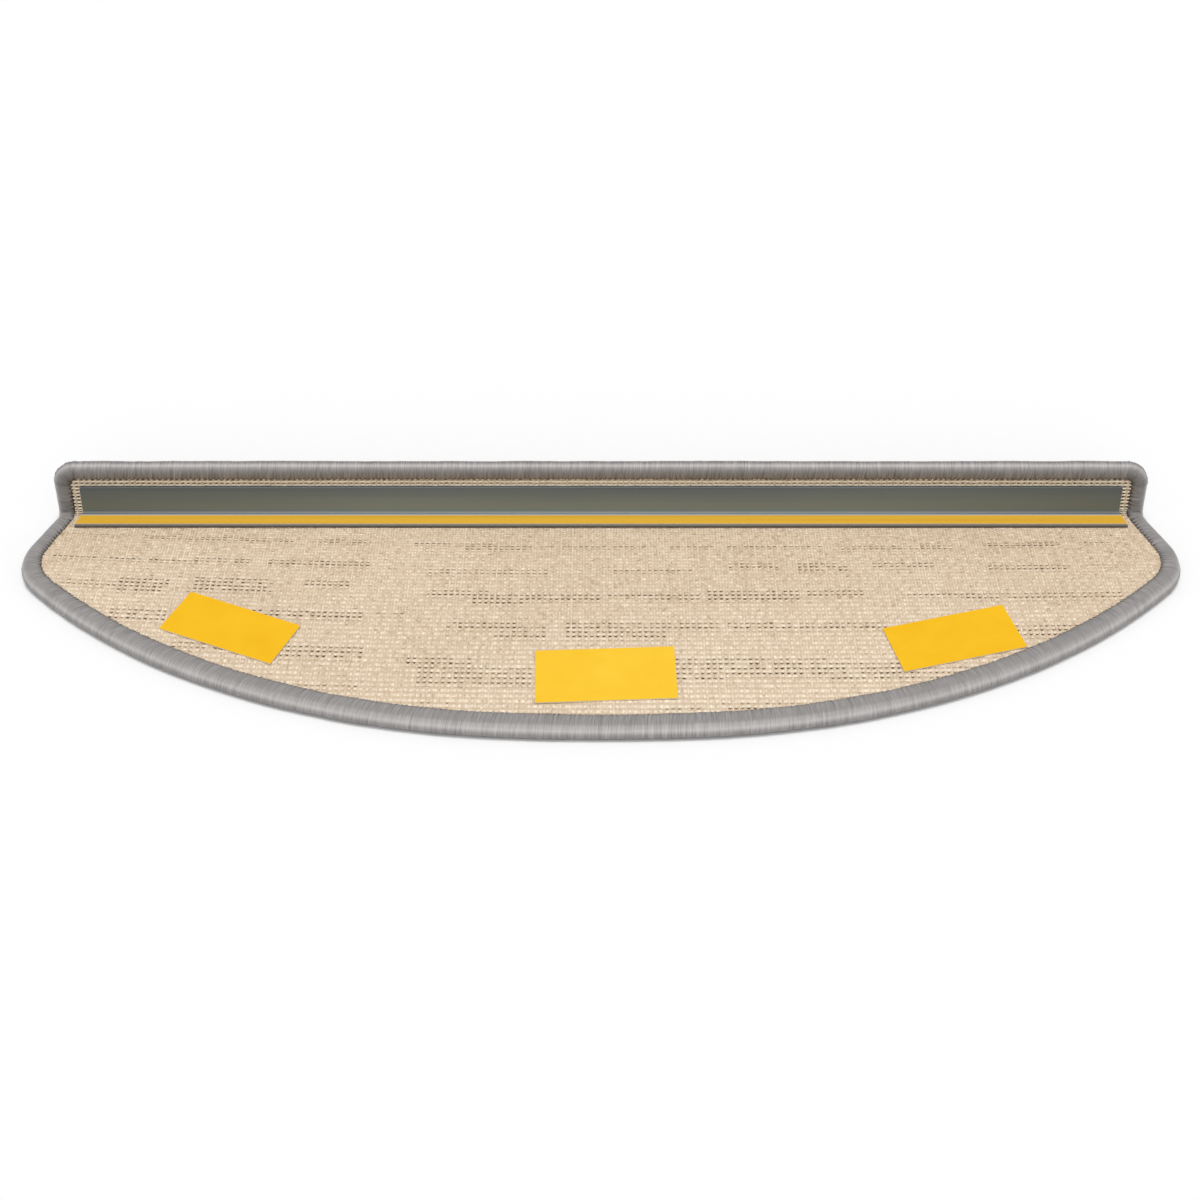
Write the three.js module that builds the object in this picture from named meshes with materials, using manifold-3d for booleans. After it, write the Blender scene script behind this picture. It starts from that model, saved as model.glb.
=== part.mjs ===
// An anti slip stair tread mat, as it lies face down with its backing up.
// Lengths are in millimetres. X runs along the mat, -Y points to its round front and +Z out of its backing.
// The walking face lies on the plane Z = 0, and the flap for the riser stands up at the back, at +Y.

import * as THREE from "three";
import { ParametricGeometry } from "three/addons/geometries/ParametricGeometry.js";
import { mergeVertices } from "three/addons/utils/BufferGeometryUtils.js";
import Module from "manifold-3d";

const wasm = await Module();
wasm.setup();

const QUARTER_TURN = Math.PI / 2;
const degrees = THREE.MathUtils.degToRad;

// Overall size, measured over the edge binding
const MAT_LENGTH = 650;
const MAT_DEPTH = 210;
const MAT_HEIGHT = 40;

// Outline of the mat before it is folded, made of arcs that run into one another
const FRONT_RADIUS = 800;
const FRONT_HALF_ANGLE = degrees(4);
const CORNER_RADIUS = 43;
const CORNER_TO_BACK = 52.4; // from the middle of the corner arc to the back of the flap
const SIDE_SLANT = degrees(17); // of the short straight side between the corner and the notch
const NOTCH_RADIUS = 6;

// Carpet
const CARPET_THICKNESS = 7;
const FOLD_INNER_RADIUS = 2.5; // on the backing, where the flap turns up
const TUCK_THICKNESS = 4.6; // of the pressed edge that the binding holds
const TUCK_INSET = 3; // from the outer edge of the binding to the cut edge of the carpet

// Weave of the backing: weft ribs along X, closer together towards the fold
const WEFT_PITCH_FRONT = 4.2;
const WEFT_PITCH_FOLD = 2.6;
const GROOVE_WIDTH = 1.1;
const GROOVE_DEPTH = 0.5;

// Open cells of the weave: lines of slots, each line given by its distance from the fold
const GAP_LINES = [27, 47, 53, 71, 81, 97, 106, 115, 141, 149, 157, 172];
const GAP_SPACING = 52;
const GAP_LENGTH = 9;
const GAP_WIDTH = 1.4;
const GAP_DEPTH = 3;
const GAP_EDGE_MARGIN = 6;

// Edge binding: overlocked yarn around the whole edge
const BINDING_WIDTH_FRONT = 14.5;
const BINDING_WIDTH_FLAP = 10;
const FLAP_WINDOW_RADIUS = 3.5; // of the binding's inner edge at the flap's top corners
const BINDING_THICKNESS = 8.8;
const BINDING_ROUND = 4.5; // width over which its outer edge rounds over
const BINDING_LIP = 0.2; // height above the backing where the binding starts
const BINDING_SHOULDER = 1.2; // width over which it climbs from that lip to nearly its crown
const SHOULDER_DROP = 0.6;

// Angle profile in the fold
const PROFILE_THICKNESS = 1.5;
const PROFILE_HEIGHT = 18.8; // of the leg on the flap, over both legs
const PROFILE_DEPTH = 15; // of the leg on the tread, over both legs
const PROFILE_FLARE = 3; // by which the tread leg's front edge is longer than the flap leg, at each end
const PROFILE_OUTER_RADIUS = 3;
const PROFILE_END_CLEARANCE = 5.2; // from each end of the flap leg to the binding

// Double-sided tape and its release liner
const TAPE_THICKNESS = 0.5;
const LINER_THICKNESS = 0.15;
const STRIP_WIDTH = 8.6;
const STRIP_FRONT_MARGIN = 1.2;
const STRIP_END_MARGIN = 0.3;

// Adhesive pads, cut and stuck on by hand. Each lies inside the point of the outline that faces a given
// angle, its middle at a distance from the edge. Its turn is about Z, and its short sides lean off square.
const PAD_LEFT_LENGTH = 71;
const PAD_LEFT_WIDTH = 36;
const PAD_LEFT_TO_EDGE = 43;
const PAD_LEFT_FACING = degrees(-30.2);
const PAD_LEFT_TURN = degrees(-26.6);
const PAD_LEFT_LEAN = degrees(-7.3);
const PAD_MIDDLE_LENGTH = 73.5;
const PAD_MIDDLE_WIDTH = 44.7;
const PAD_MIDDLE_TO_EDGE = 47.9;
const PAD_MIDDLE_FACING = degrees(0.18);
const PAD_MIDDLE_TURN = degrees(3.1);
const PAD_MIDDLE_LEAN = degrees(2);
const PAD_RIGHT_LENGTH = 71;
const PAD_RIGHT_WIDTH = 38.8;
const PAD_RIGHT_TO_EDGE = 39.9;
const PAD_RIGHT_FACING = degrees(27.8);
const PAD_RIGHT_TURN = degrees(18);
const PAD_RIGHT_LEAN = degrees(7);

// Gap between pieces that fit into each other
const CLEARANCE = 0.3;

// How finely curved shapes are divided
const FRONT_STEPS = 8;
const FLANK_STEPS = 18;
const CORNER_STEPS = 12;
const NOTCH_STEPS = 3;
const FOLD_STEPS = 8;
const FLAP_CORNER_STEPS = 8;
const NOSE_STEPS = 8;
const PROFILE_ARC_STEPS = 6;

// How far a cutting shape reaches past what it cuts
const OVERSHOOT = 2;

// Places that follow from the sizes
const BACK_Y = MAT_DEPTH / 2;
const FOLD_OUTER_RADIUS = CARPET_THICKNESS + FOLD_INNER_RADIUS;
const FOLD_MIDDLE_RADIUS = FOLD_INNER_RADIUS + CARPET_THICKNESS / 2;
const FOLD_LENGTH = FOLD_MIDDLE_RADIUS * QUARTER_TURN;
const FOLD_START = BACK_Y - FOLD_OUTER_RADIUS;
const FOLD_END = FOLD_START + FOLD_LENGTH;
const FLAP_TOP = FOLD_END + MAT_HEIGHT - FOLD_OUTER_RADIUS;
const FLAP_BACKING_Y = BACK_Y - CARPET_THICKNESS;
const TUCK_BOTTOM = (CARPET_THICKNESS - TUCK_THICKNESS) / 2;
const TUCK_TOP = TUCK_BOTTOM + TUCK_THICKNESS;
const FLAP_CORNER_RADIUS = FLAP_WINDOW_RADIUS + BINDING_WIDTH_FLAP;

const front = { x: 0, s: FRONT_RADIUS - MAT_DEPTH / 2 };
const corner = {
  x: MAT_LENGTH / 2 - CORNER_RADIUS,
  s: BACK_Y - CORNER_TO_BACK,
};
const flank = flankArc();
const FLAP_HALF_WIDTH = flapHalfWidth();
const PROFILE_LENGTH = 2 * (FLAP_HALF_WIDTH - bindingWidth(FOLD_START) - PROFILE_END_CLEARANCE);
const treadEdge = treadOutline();
const bendEdge = foldStations().map((s) => ({ x: FLAP_HALF_WIDTH, s, angle: QUARTER_TURN }));
const flapCorner = flapCornerOutline();

// The arc that joins the front arc to the corner arc without a kink at either end.
function flankArc() {
  const across = { x: corner.x - front.x, s: corner.s - front.s };
  const along = { x: Math.sin(FRONT_HALF_ANGLE), s: -Math.cos(FRONT_HALF_ANGLE) };
  const spread = FRONT_RADIUS - CORNER_RADIUS;
  const reach = across.x * along.x + across.s * along.s;
  const shift = (across.x ** 2 + across.s ** 2 - spread ** 2) / (2 * (reach - spread));
  const centre = { x: front.x + shift * along.x, s: front.s + shift * along.s };
  return {
    ...centre,
    radius: FRONT_RADIUS - shift,
    endAngle: Math.atan2(corner.x - centre.x, centre.s - corner.s),
  };
}

// Half the width of the flap, at which the notch's arc runs out just where the fold starts.
function flapHalfWidth() {
  const endX = corner.x + CORNER_RADIUS * Math.cos(SIDE_SLANT);
  const endS = corner.s + CORNER_RADIUS * Math.sin(SIDE_SLANT);
  const inward = (FOLD_START - endS) * Math.sin(SIDE_SLANT) - NOTCH_RADIUS;
  return endX - NOTCH_RADIUS - inward / Math.cos(SIDE_SLANT);
}

// Points on an arc of the flat outline, each with the angle that it faces: 0 is -Y, a quarter turn is +X.
function arcPoints(centre, radius, from, to, steps) {
  return Array.from({ length: steps + 1 }, (_, i) => {
    const angle = from + ((to - from) * i) / steps;
    return {
      x: centre.x + radius * Math.sin(angle),
      s: centre.s - radius * Math.cos(angle),
      angle,
    };
  });
}

// Right half of the flat outline in front of the fold, from the middle of the front.
function treadOutline() {
  const notch = { x: FLAP_HALF_WIDTH + NOTCH_RADIUS, s: FOLD_START };
  const sideAngle = QUARTER_TURN + SIDE_SLANT;
  return [
    ...arcPoints(front, FRONT_RADIUS, 0, FRONT_HALF_ANGLE, FRONT_STEPS),
    ...arcPoints(flank, flank.radius, FRONT_HALF_ANGLE, flank.endAngle, FLANK_STEPS).slice(1),
    ...arcPoints(corner, CORNER_RADIUS, flank.endAngle, sideAngle, CORNER_STEPS).slice(1),
    ...arcPoints(notch, -NOTCH_RADIUS, sideAngle, QUARTER_TURN, NOTCH_STEPS),
  ];
}

// The flap's top right corner on the flat outline.
function flapCornerOutline() {
  const centre = {
    x: FLAP_HALF_WIDTH - FLAP_CORNER_RADIUS,
    s: FLAP_TOP - FLAP_CORNER_RADIUS,
  };
  return arcPoints(centre, FLAP_CORNER_RADIUS, QUARTER_TURN, Math.PI, FLAP_CORNER_STEPS);
}

// The point of the outline that faces an angle, on the front arc or on one of the flank arcs.
function pointFacing(angle) {
  const size = Math.abs(angle);
  const [centre, radius] = size > FRONT_HALF_ANGLE ? [flank, flank.radius] : [front, FRONT_RADIUS];
  const x = Math.sign(angle) * (centre.x + radius * Math.sin(size));
  return { x, s: centre.s - radius * Math.cos(size), angle };
}

// A point of the outline moved inwards by a distance.
function inset({ x, s, angle }, distance) {
  return { x: x - distance * Math.sin(angle), s: s + distance * Math.cos(angle), angle };
}

// Width of the binding at s: it narrows evenly from the front to the fold, and then stays the same.
function bindingWidth(s) {
  const share = (s + MAT_DEPTH / 2) / (FOLD_START + MAT_DEPTH / 2);
  return THREE.MathUtils.lerp(BINDING_WIDTH_FRONT, BINDING_WIDTH_FLAP, Math.min(share, 1));
}

// How far the open backing's edge, and the cut edge under the binding, lie inside the outline at a point.
const toField = (point) => bindingWidth(point.s) + CLEARANCE;
const toCutEdge = () => TUCK_INSET;

// Distances along the flat mat at which the fold is divided.
function foldStations() {
  return Array.from({ length: FOLD_STEPS + 1 }, (_, i) => FOLD_START + (FOLD_LENGTH * i) / FOLD_STEPS);
}

// Folds the flat mat: s runs over it from front to back, and h is the height above its walking face.
function fold(s, h) {
  const beyond = s - FOLD_START;
  if (beyond <= 0) return { y: s, z: h };
  const turn = Math.min(beyond / FOLD_MIDDLE_RADIUS, QUARTER_TURN);
  const radius = FOLD_OUTER_RADIUS - h;
  return {
    y: FOLD_START + radius * Math.sin(turn),
    z: FOLD_OUTER_RADIUS - radius * Math.cos(turn) + Math.max(beyond - FOLD_LENGTH, 0),
  };
}

function mirrored(points) {
  return points.map(({ x, s, angle }) => ({ x: -x, s, angle: -angle })).reverse();
}

// A closed three.js geometry as a solid for joining and cutting.
function toSolid(geometry) {
  const bare = new THREE.BufferGeometry();
  bare.setAttribute("position", geometry.getAttribute("position"));
  bare.setIndex(geometry.index);
  const merged = mergeVertices(bare);
  return new wasm.Manifold(
    new wasm.Mesh({
      numProp: 3,
      vertProperties: merged.getAttribute("position").array,
      triVerts: new Uint32Array(merged.index.array),
    }),
  );
}

function toGeometry(solid) {
  const { vertProperties, triVerts } = solid.getMesh();
  const geometry = new THREE.BufferGeometry();
  geometry.setAttribute("position", new THREE.BufferAttribute(vertProperties, 3));
  geometry.setIndex(new THREE.BufferAttribute(triVerts, 1));
  const faceted = geometry.toNonIndexed();
  faceted.computeVertexNormals();
  return faceted;
}

// A prism along X, centred on X = 0, with its section given as points (y, z).
function prismAlongX(section, length, curveSegments = 1) {
  const geometry = new THREE.ExtrudeGeometry(section, {
    depth: length,
    bevelEnabled: false,
    curveSegments,
  });
  geometry.translate(0, 0, -length / 2);
  const turn = new THREE.Matrix4().makeBasis(
    new THREE.Vector3(0, 1, 0),
    new THREE.Vector3(0, 0, 1),
    new THREE.Vector3(1, 0, 0),
  );
  return geometry.applyMatrix4(turn);
}

// Everything inside the folded outline, each point of it moved inwards by distanceAt(point): one block for
// the tread and one for the fold and the flap.
function outlineBlock(distanceAt) {
  const side = treadEdge.map((point) => inset(point, distanceAt(point)));
  const treadShape = new THREE.Shape(
    [...side, ...mirrored(side.slice(1))].map(({ x, s }) => new THREE.Vector2(x, s)),
  );
  const tread = new THREE.ExtrudeGeometry(treadShape, {
    depth: MAT_HEIGHT + 2 * OVERSHOOT,
    bevelEnabled: false,
  });
  tread.translate(0, 0, -OVERSHOOT);

  const flapSide = [...bendEdge, ...flapCorner].map((point) => inset(point, distanceAt(point)));
  const flapPoints = flapSide.map(({ x, s }) => new THREE.Vector2(x, fold(s, CARPET_THICKNESS / 2).z));
  flapPoints[0].y = -OVERSHOOT;
  const flapShape = new THREE.Shape([
    ...flapPoints,
    ...flapPoints.map(({ x, y }) => new THREE.Vector2(-x, y)).reverse(),
  ]);
  const flap = new THREE.ExtrudeGeometry(flapShape, {
    depth: FOLD_OUTER_RADIUS + OVERSHOOT,
    bevelEnabled: false,
  });
  flap.rotateX(QUARTER_TURN);
  flap.translate(0, BACK_Y + OVERSHOOT, 0);
  return toSolid(tread).add(toSolid(flap));
}

// Places of the grooves between the weft ribs, in front of the profile and above it.
function grooveLines() {
  const lines = [];
  const span = FOLD_START + MAT_DEPTH / 2;
  let s = BINDING_WIDTH_FRONT - MAT_DEPTH / 2 + WEFT_PITCH_FRONT / 2;
  while (s < FLAP_TOP - BINDING_WIDTH_FLAP) {
    lines.push(s);
    const share = Math.min((s + MAT_DEPTH / 2) / span, 1);
    s += THREE.MathUtils.lerp(WEFT_PITCH_FRONT, WEFT_PITCH_FOLD, share);
  }
  const profileFront = FLAP_BACKING_Y - PROFILE_DEPTH - GROOVE_WIDTH;
  const profileTop = FOLD_END + PROFILE_HEIGHT - FOLD_INNER_RADIUS + GROOVE_WIDTH;
  return lines.filter((line) => line < profileFront || line > profileTop);
}

// A sheet along X with the folded side view of the mat, from height bottom to height top.
function foldedSheet(bottom, top, grooves) {
  const start = -MAT_DEPTH / 2 - OVERSHOOT;
  const end = FLAP_TOP + OVERSHOOT;
  const under = [start, ...foldStations(), end].map((s) => [s, bottom]);
  const ribs = grooves.flatMap((line) => [
    [line - GROOVE_WIDTH / 2, top],
    [line, top - GROOVE_DEPTH],
    [line + GROOVE_WIDTH / 2, top],
  ]);
  const bends = foldStations().map((s) => [s, top]);
  const over = [[start, top], ...ribs, ...bends, [end, top]].sort((a, b) => b[0] - a[0]);
  const section = new THREE.Shape(
    [...under, ...over].map(([s, h]) => {
      const { y, z } = fold(s, h);
      return new THREE.Vector2(y, z);
    }),
  );
  return toSolid(prismAlongX(section, MAT_LENGTH + 2 * OVERSHOOT));
}

// Half the width of the open backing at s, between the inner edges of the binding.
function halfWidthAt(s) {
  const side = treadEdge.map((point) => inset(point, bindingWidth(point.s)));
  const next = side.findIndex((point) => point.s > s);
  const [a, b] = [side[next - 1], side[next]];
  return THREE.MathUtils.mapLinear(s, a.s, b.s, a.x, b.x);
}

// Slots for the open cells of the weave. Lines of slots are staggered by half a spacing.
function weaveGaps(grooves) {
  const slots = [];
  GAP_LINES.forEach((fromFold, row) => {
    const wanted = FOLD_START - fromFold;
    const y = grooves.reduce((best, line) =>
      Math.abs(line - wanted) < Math.abs(best - wanted) ? line : best,
    );
    const limit = halfWidthAt(y) - GAP_EDGE_MARGIN - GAP_LENGTH / 2;
    const offset = row % 2 ? GAP_SPACING / 2 : 0;
    for (let x = offset - MAT_LENGTH; x <= MAT_LENGTH; x += GAP_SPACING) {
      if (Math.abs(x) > limit) continue;
      const slot = new THREE.BoxGeometry(GAP_LENGTH, GAP_WIDTH, 2 * GAP_DEPTH);
      slot.translate(x, y, CARPET_THICKNESS);
      slots.push(toSolid(slot));
    }
  });
  return slots.reduce((all, slot) => all.add(slot));
}

// The carpet: full thickness up to the binding, and a thinner pressed edge that the binding holds.
function carpetGeometry() {
  const grooves = grooveLines();
  const field = foldedSheet(0, CARPET_THICKNESS, grooves).intersect(outlineBlock(toField));
  const tuck = foldedSheet(TUCK_BOTTOM, TUCK_TOP, []).intersect(outlineBlock(toCutEdge));
  return toGeometry(field.add(tuck).subtract(weaveGaps(grooves)));
}

// Section of the binding of a width, as points (d, h): d inwards from the outline, h above the walking
// face.
function bindingSection(width) {
  const middle = BINDING_THICKNESS / 2;
  const nose = Array.from({ length: NOSE_STEPS + 1 }, (_, i) => {
    const angle = QUARTER_TURN * (1 - (2 * i) / NOSE_STEPS);
    return [BINDING_ROUND * (1 - Math.cos(angle)), middle + middle * Math.sin(angle)];
  });
  const slotEnd = TUCK_INSET - CLEARANCE;
  return [
    [width, CARPET_THICKNESS + BINDING_LIP],
    [width - BINDING_SHOULDER, BINDING_THICKNESS - SHOULDER_DROP],
    ...nose,
    [width, 0],
    [width, TUCK_BOTTOM - CLEARANCE],
    [slotEnd, TUCK_BOTTOM - CLEARANCE],
    [slotEnd, TUCK_TOP + CLEARANCE],
    [width, TUCK_TOP + CLEARANCE],
  ];
}

// The binding: its section carried around the whole outline and folded with the mat.
function bindingGeometry() {
  const right = [...treadEdge, ...bendEdge.slice(1), ...flapCorner];
  const loop = [...right, ...mirrored(right.slice(1))];
  const sections = loop.map(({ s }) => bindingSection(bindingWidth(s)));
  const corners = sections[0].length;
  const place = (u, v, target) => {
    const station = Math.round(v * loop.length) % loop.length;
    const [distance, h] = sections[station][Math.round(u * corners) % corners];
    const { x, s } = inset(loop[station], distance);
    const { y, z } = fold(s, h);
    target.set(x, y, z);
  };
  return new ParametricGeometry(place, corners, loop.length);
}

// Section of the angle profile as (y, z) from the mat's inner corner, with both legs ending in full rounds.
function profileSection() {
  const t = PROFILE_THICKNESS;
  const outer = PROFILE_OUTER_RADIUS;
  const shape = new THREE.Shape();
  shape.moveTo(-outer, 0);
  shape.absarc(-outer, outer, outer, -QUARTER_TURN, 0, false);
  shape.absarc(-t / 2, PROFILE_HEIGHT - t / 2, t / 2, 0, Math.PI, false);
  shape.absarc(-outer, outer, outer - t, 0, -QUARTER_TURN, true);
  shape.absarc(t / 2 - PROFILE_DEPTH, t / 2, t / 2, QUARTER_TURN, 3 * QUARTER_TURN, false);
  return shape;
}

// Lengthens a shape at both ends, evenly from the flap to the front edge of the profile's tread leg.
function flared(geometry) {
  const places = geometry.getAttribute("position");
  for (let i = 0; i < places.count; i += 1) {
    const share = -places.getY(i) / PROFILE_DEPTH;
    const x = places.getX(i);
    places.setX(i, x + Math.sign(x) * PROFILE_FLARE * share);
  }
  return geometry;
}

// A flat plate with its middle over the origin and its underside at Z = 0. Its short sides can lean.
function plate({ length, width, lean = 0 }, thickness) {
  const shift = (Math.tan(lean) * width) / 2;
  const shape = new THREE.Shape([
    new THREE.Vector2(-length / 2 - shift, -width / 2),
    new THREE.Vector2(length / 2 - shift, -width / 2),
    new THREE.Vector2(length / 2 + shift, width / 2),
    new THREE.Vector2(-length / 2 + shift, width / 2),
  ]);
  return new THREE.ExtrudeGeometry(shape, { depth: thickness, bevelEnabled: false });
}

const materials = {
  backing: { color: 0xd8c2a0, roughness: 0.95, metalness: 0 },
  binding: { color: 0x9c9896, roughness: 0.55, metalness: 0 },
  profile: { color: 0x646a62, roughness: 0.4, metalness: 0 },
  tape: { color: 0xe9e2cf, roughness: 0.8, metalness: 0 },
  liner: { color: 0xf2b62c, roughness: 0.6, metalness: 0 },
};

function mesh(name, geometry, material) {
  const made = new THREE.Mesh(geometry, new THREE.MeshStandardMaterial(material));
  made.name = name;
  return made;
}

// A piece of tape with its liner on top, in a group of its own. cut(thickness) gives a layer's geometry.
function tapeWithLiner(names, cut) {
  const group = new THREE.Group();
  const liner = mesh(names.liner, cut(LINER_THICKNESS), materials.liner);
  liner.position.z = TAPE_THICKNESS;
  group.add(mesh(names.tape, cut(TAPE_THICKNESS), materials.tape), liner);
  return group;
}

// The angle profile with the strip of tape on its tread leg.
function profileGroup() {
  const group = new THREE.Group();
  const section = profileSection();
  const bar = flared(prismAlongX(section, PROFILE_LENGTH, PROFILE_ARC_STEPS));
  const names = { tape: "profile_tape", liner: "profile_tape_liner" };
  const size = { length: PROFILE_LENGTH - 2 * STRIP_END_MARGIN, width: STRIP_WIDTH };
  const middle = STRIP_FRONT_MARGIN + STRIP_WIDTH / 2 - PROFILE_DEPTH;
  const strip = tapeWithLiner(names, (thickness) => flared(plate(size, thickness).translate(0, middle, 0)));
  strip.position.z = PROFILE_THICKNESS;
  group.add(mesh("angle_profile", bar, materials.profile), strip);
  group.position.set(0, FLAP_BACKING_Y, CARPET_THICKNESS);
  return group;
}

// A pad, with its middle a distance inside the point of the outline that faces an angle.
function padGroup(name, size, place) {
  const names = { tape: `pad_tape_${name}`, liner: `pad_liner_${name}` };
  const pad = tapeWithLiner(names, (thickness) => plate(size, thickness));
  const { x, s } = inset(pointFacing(place.facing), place.toEdge);
  pad.position.set(x, s, CARPET_THICKNESS);
  pad.rotation.z = place.turn;
  return pad;
}

const stairMat = new THREE.Group();
stairMat.name = "stair_tread_mat";
stairMat.add(mesh("carpet_tread", carpetGeometry(), materials.backing));
stairMat.add(mesh("edge_binding", bindingGeometry(), materials.binding));
stairMat.add(profileGroup());
stairMat.add(
  padGroup(
    "left",
    { length: PAD_LEFT_LENGTH, width: PAD_LEFT_WIDTH, lean: PAD_LEFT_LEAN },
    { facing: PAD_LEFT_FACING, toEdge: PAD_LEFT_TO_EDGE, turn: PAD_LEFT_TURN },
  ),
  padGroup(
    "middle",
    { length: PAD_MIDDLE_LENGTH, width: PAD_MIDDLE_WIDTH, lean: PAD_MIDDLE_LEAN },
    { facing: PAD_MIDDLE_FACING, toEdge: PAD_MIDDLE_TO_EDGE, turn: PAD_MIDDLE_TURN },
  ),
  padGroup(
    "right",
    { length: PAD_RIGHT_LENGTH, width: PAD_RIGHT_WIDTH, lean: PAD_RIGHT_LEAN },
    { facing: PAD_RIGHT_FACING, toEdge: PAD_RIGHT_TO_EDGE, turn: PAD_RIGHT_TURN },
  ),
);

export default stairMat;
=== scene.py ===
"""Looks of the stair tread mat: its weave, yarn, profile, liners, light and camera.

The mat lies face down on the floor. Lengths are in metres. X runs along the mat, -Y points to its round
front and +Z out of its backing. Many places are given on the flat mat, before it is folded: x along it,
s over it from front to back, and h above its walking face.
"""

import logging
import math
from collections.abc import Callable
from dataclasses import dataclass, field
from enum import Enum

import bpy
import numpy as np
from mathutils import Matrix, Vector


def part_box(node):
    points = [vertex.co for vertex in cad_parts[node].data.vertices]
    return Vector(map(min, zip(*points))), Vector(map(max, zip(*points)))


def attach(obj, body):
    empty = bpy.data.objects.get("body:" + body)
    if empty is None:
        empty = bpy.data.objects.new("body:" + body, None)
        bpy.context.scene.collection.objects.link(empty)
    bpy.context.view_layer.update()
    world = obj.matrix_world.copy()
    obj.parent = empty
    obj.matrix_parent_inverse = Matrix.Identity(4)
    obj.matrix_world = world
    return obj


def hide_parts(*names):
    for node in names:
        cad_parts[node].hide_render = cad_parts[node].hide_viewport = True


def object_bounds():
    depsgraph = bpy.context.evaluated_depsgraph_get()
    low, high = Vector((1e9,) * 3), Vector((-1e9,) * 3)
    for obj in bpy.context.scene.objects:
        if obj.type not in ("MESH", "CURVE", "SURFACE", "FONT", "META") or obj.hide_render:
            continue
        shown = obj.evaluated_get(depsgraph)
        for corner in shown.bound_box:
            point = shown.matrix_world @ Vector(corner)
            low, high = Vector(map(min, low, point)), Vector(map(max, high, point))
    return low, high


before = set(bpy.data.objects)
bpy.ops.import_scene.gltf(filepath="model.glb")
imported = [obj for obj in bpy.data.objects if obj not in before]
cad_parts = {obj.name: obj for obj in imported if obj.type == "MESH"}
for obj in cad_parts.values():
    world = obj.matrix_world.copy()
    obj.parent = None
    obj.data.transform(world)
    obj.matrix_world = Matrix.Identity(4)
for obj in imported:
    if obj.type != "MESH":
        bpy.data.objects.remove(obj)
CAD_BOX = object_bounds()

QUARTER_TURN = math.pi / 2
BODY = "root"
# Two places within this distance, in metres, count as the same.
CLOSE = 1e-5
# Corners of a face.
CORNERS = 4
# Knots that smooth noise draws past its last whole step.
SPARE_KNOTS = 3
# Middle of a pattern that goes from 0 to 1.
MIDDLE = 0.5
# Sockets of the Mix node where it mixes colours: three inputs and the output.
MIX_SHARE, MIX_FIRST, MIX_SECOND, MIX_RESULT = 0, 6, 7, 2

SRGB_WHITE = 255
SRGB_BEND = 0.04045
SRGB_SLOPE = 12.92
SRGB_OFFSET = 0.055
SRGB_POWER = 2.4

Pair = tuple[float, float]
Triple = tuple[float, float, float]
Colour = Triple
Grid = np.ndarray

WHITE: Colour = (1.0, 1.0, 1.0)

log = logging.getLogger("stair_mat")


def linear(share: float) -> float:
    """Turns one channel of a screen colour into a linear one.

    Args:
        share: The channel from 0 to 1.

    Returns:
        The linear channel.
    """
    if share <= SRGB_BEND:
        return share / SRGB_SLOPE
    return ((share + SRGB_OFFSET) / (1 + SRGB_OFFSET)) ** SRGB_POWER


def srgb(red: int, green: int, blue: int) -> Colour:
    """Turns a colour as seen on a screen, from 0 to 255, into the linear one that a shader takes."""
    return tuple(linear(value / SRGB_WHITE) for value in (red, green, blue))


def smooth_noise(places: Grid, length: float, seed: int) -> Grid:
    """Gives a smooth random curve from -1 to 1 at places along a line.

    Args:
        places: Places along the line, in metres.
        length: Distance over which the curve changes.
        seed: Number that fixes the curve.

    Returns:
        The curve's value at each place.
    """
    steps = (places - places.min()) / length
    knots = np.random.default_rng(seed).uniform(-1, 1, int(steps.max()) + SPARE_KNOTS)
    index = steps.astype(int)
    share = (1 - np.cos((steps - index) * math.pi)) / 2
    return knots[index] * (1 - share) + knots[index + 1] * share


def with_middles(places: Grid) -> Grid:
    """Adds the middle of every gap to places along a line."""
    return np.sort(np.concatenate([places, places[:-1] + np.diff(places) / 2]))


def whole_faces(inside: Grid) -> Grid:
    """Says of each face of a grid whether all of its corners are inside."""
    return inside[:-1, :-1] & inside[1:, 1:] & inside[:-1, 1:] & inside[1:, :-1]


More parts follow.
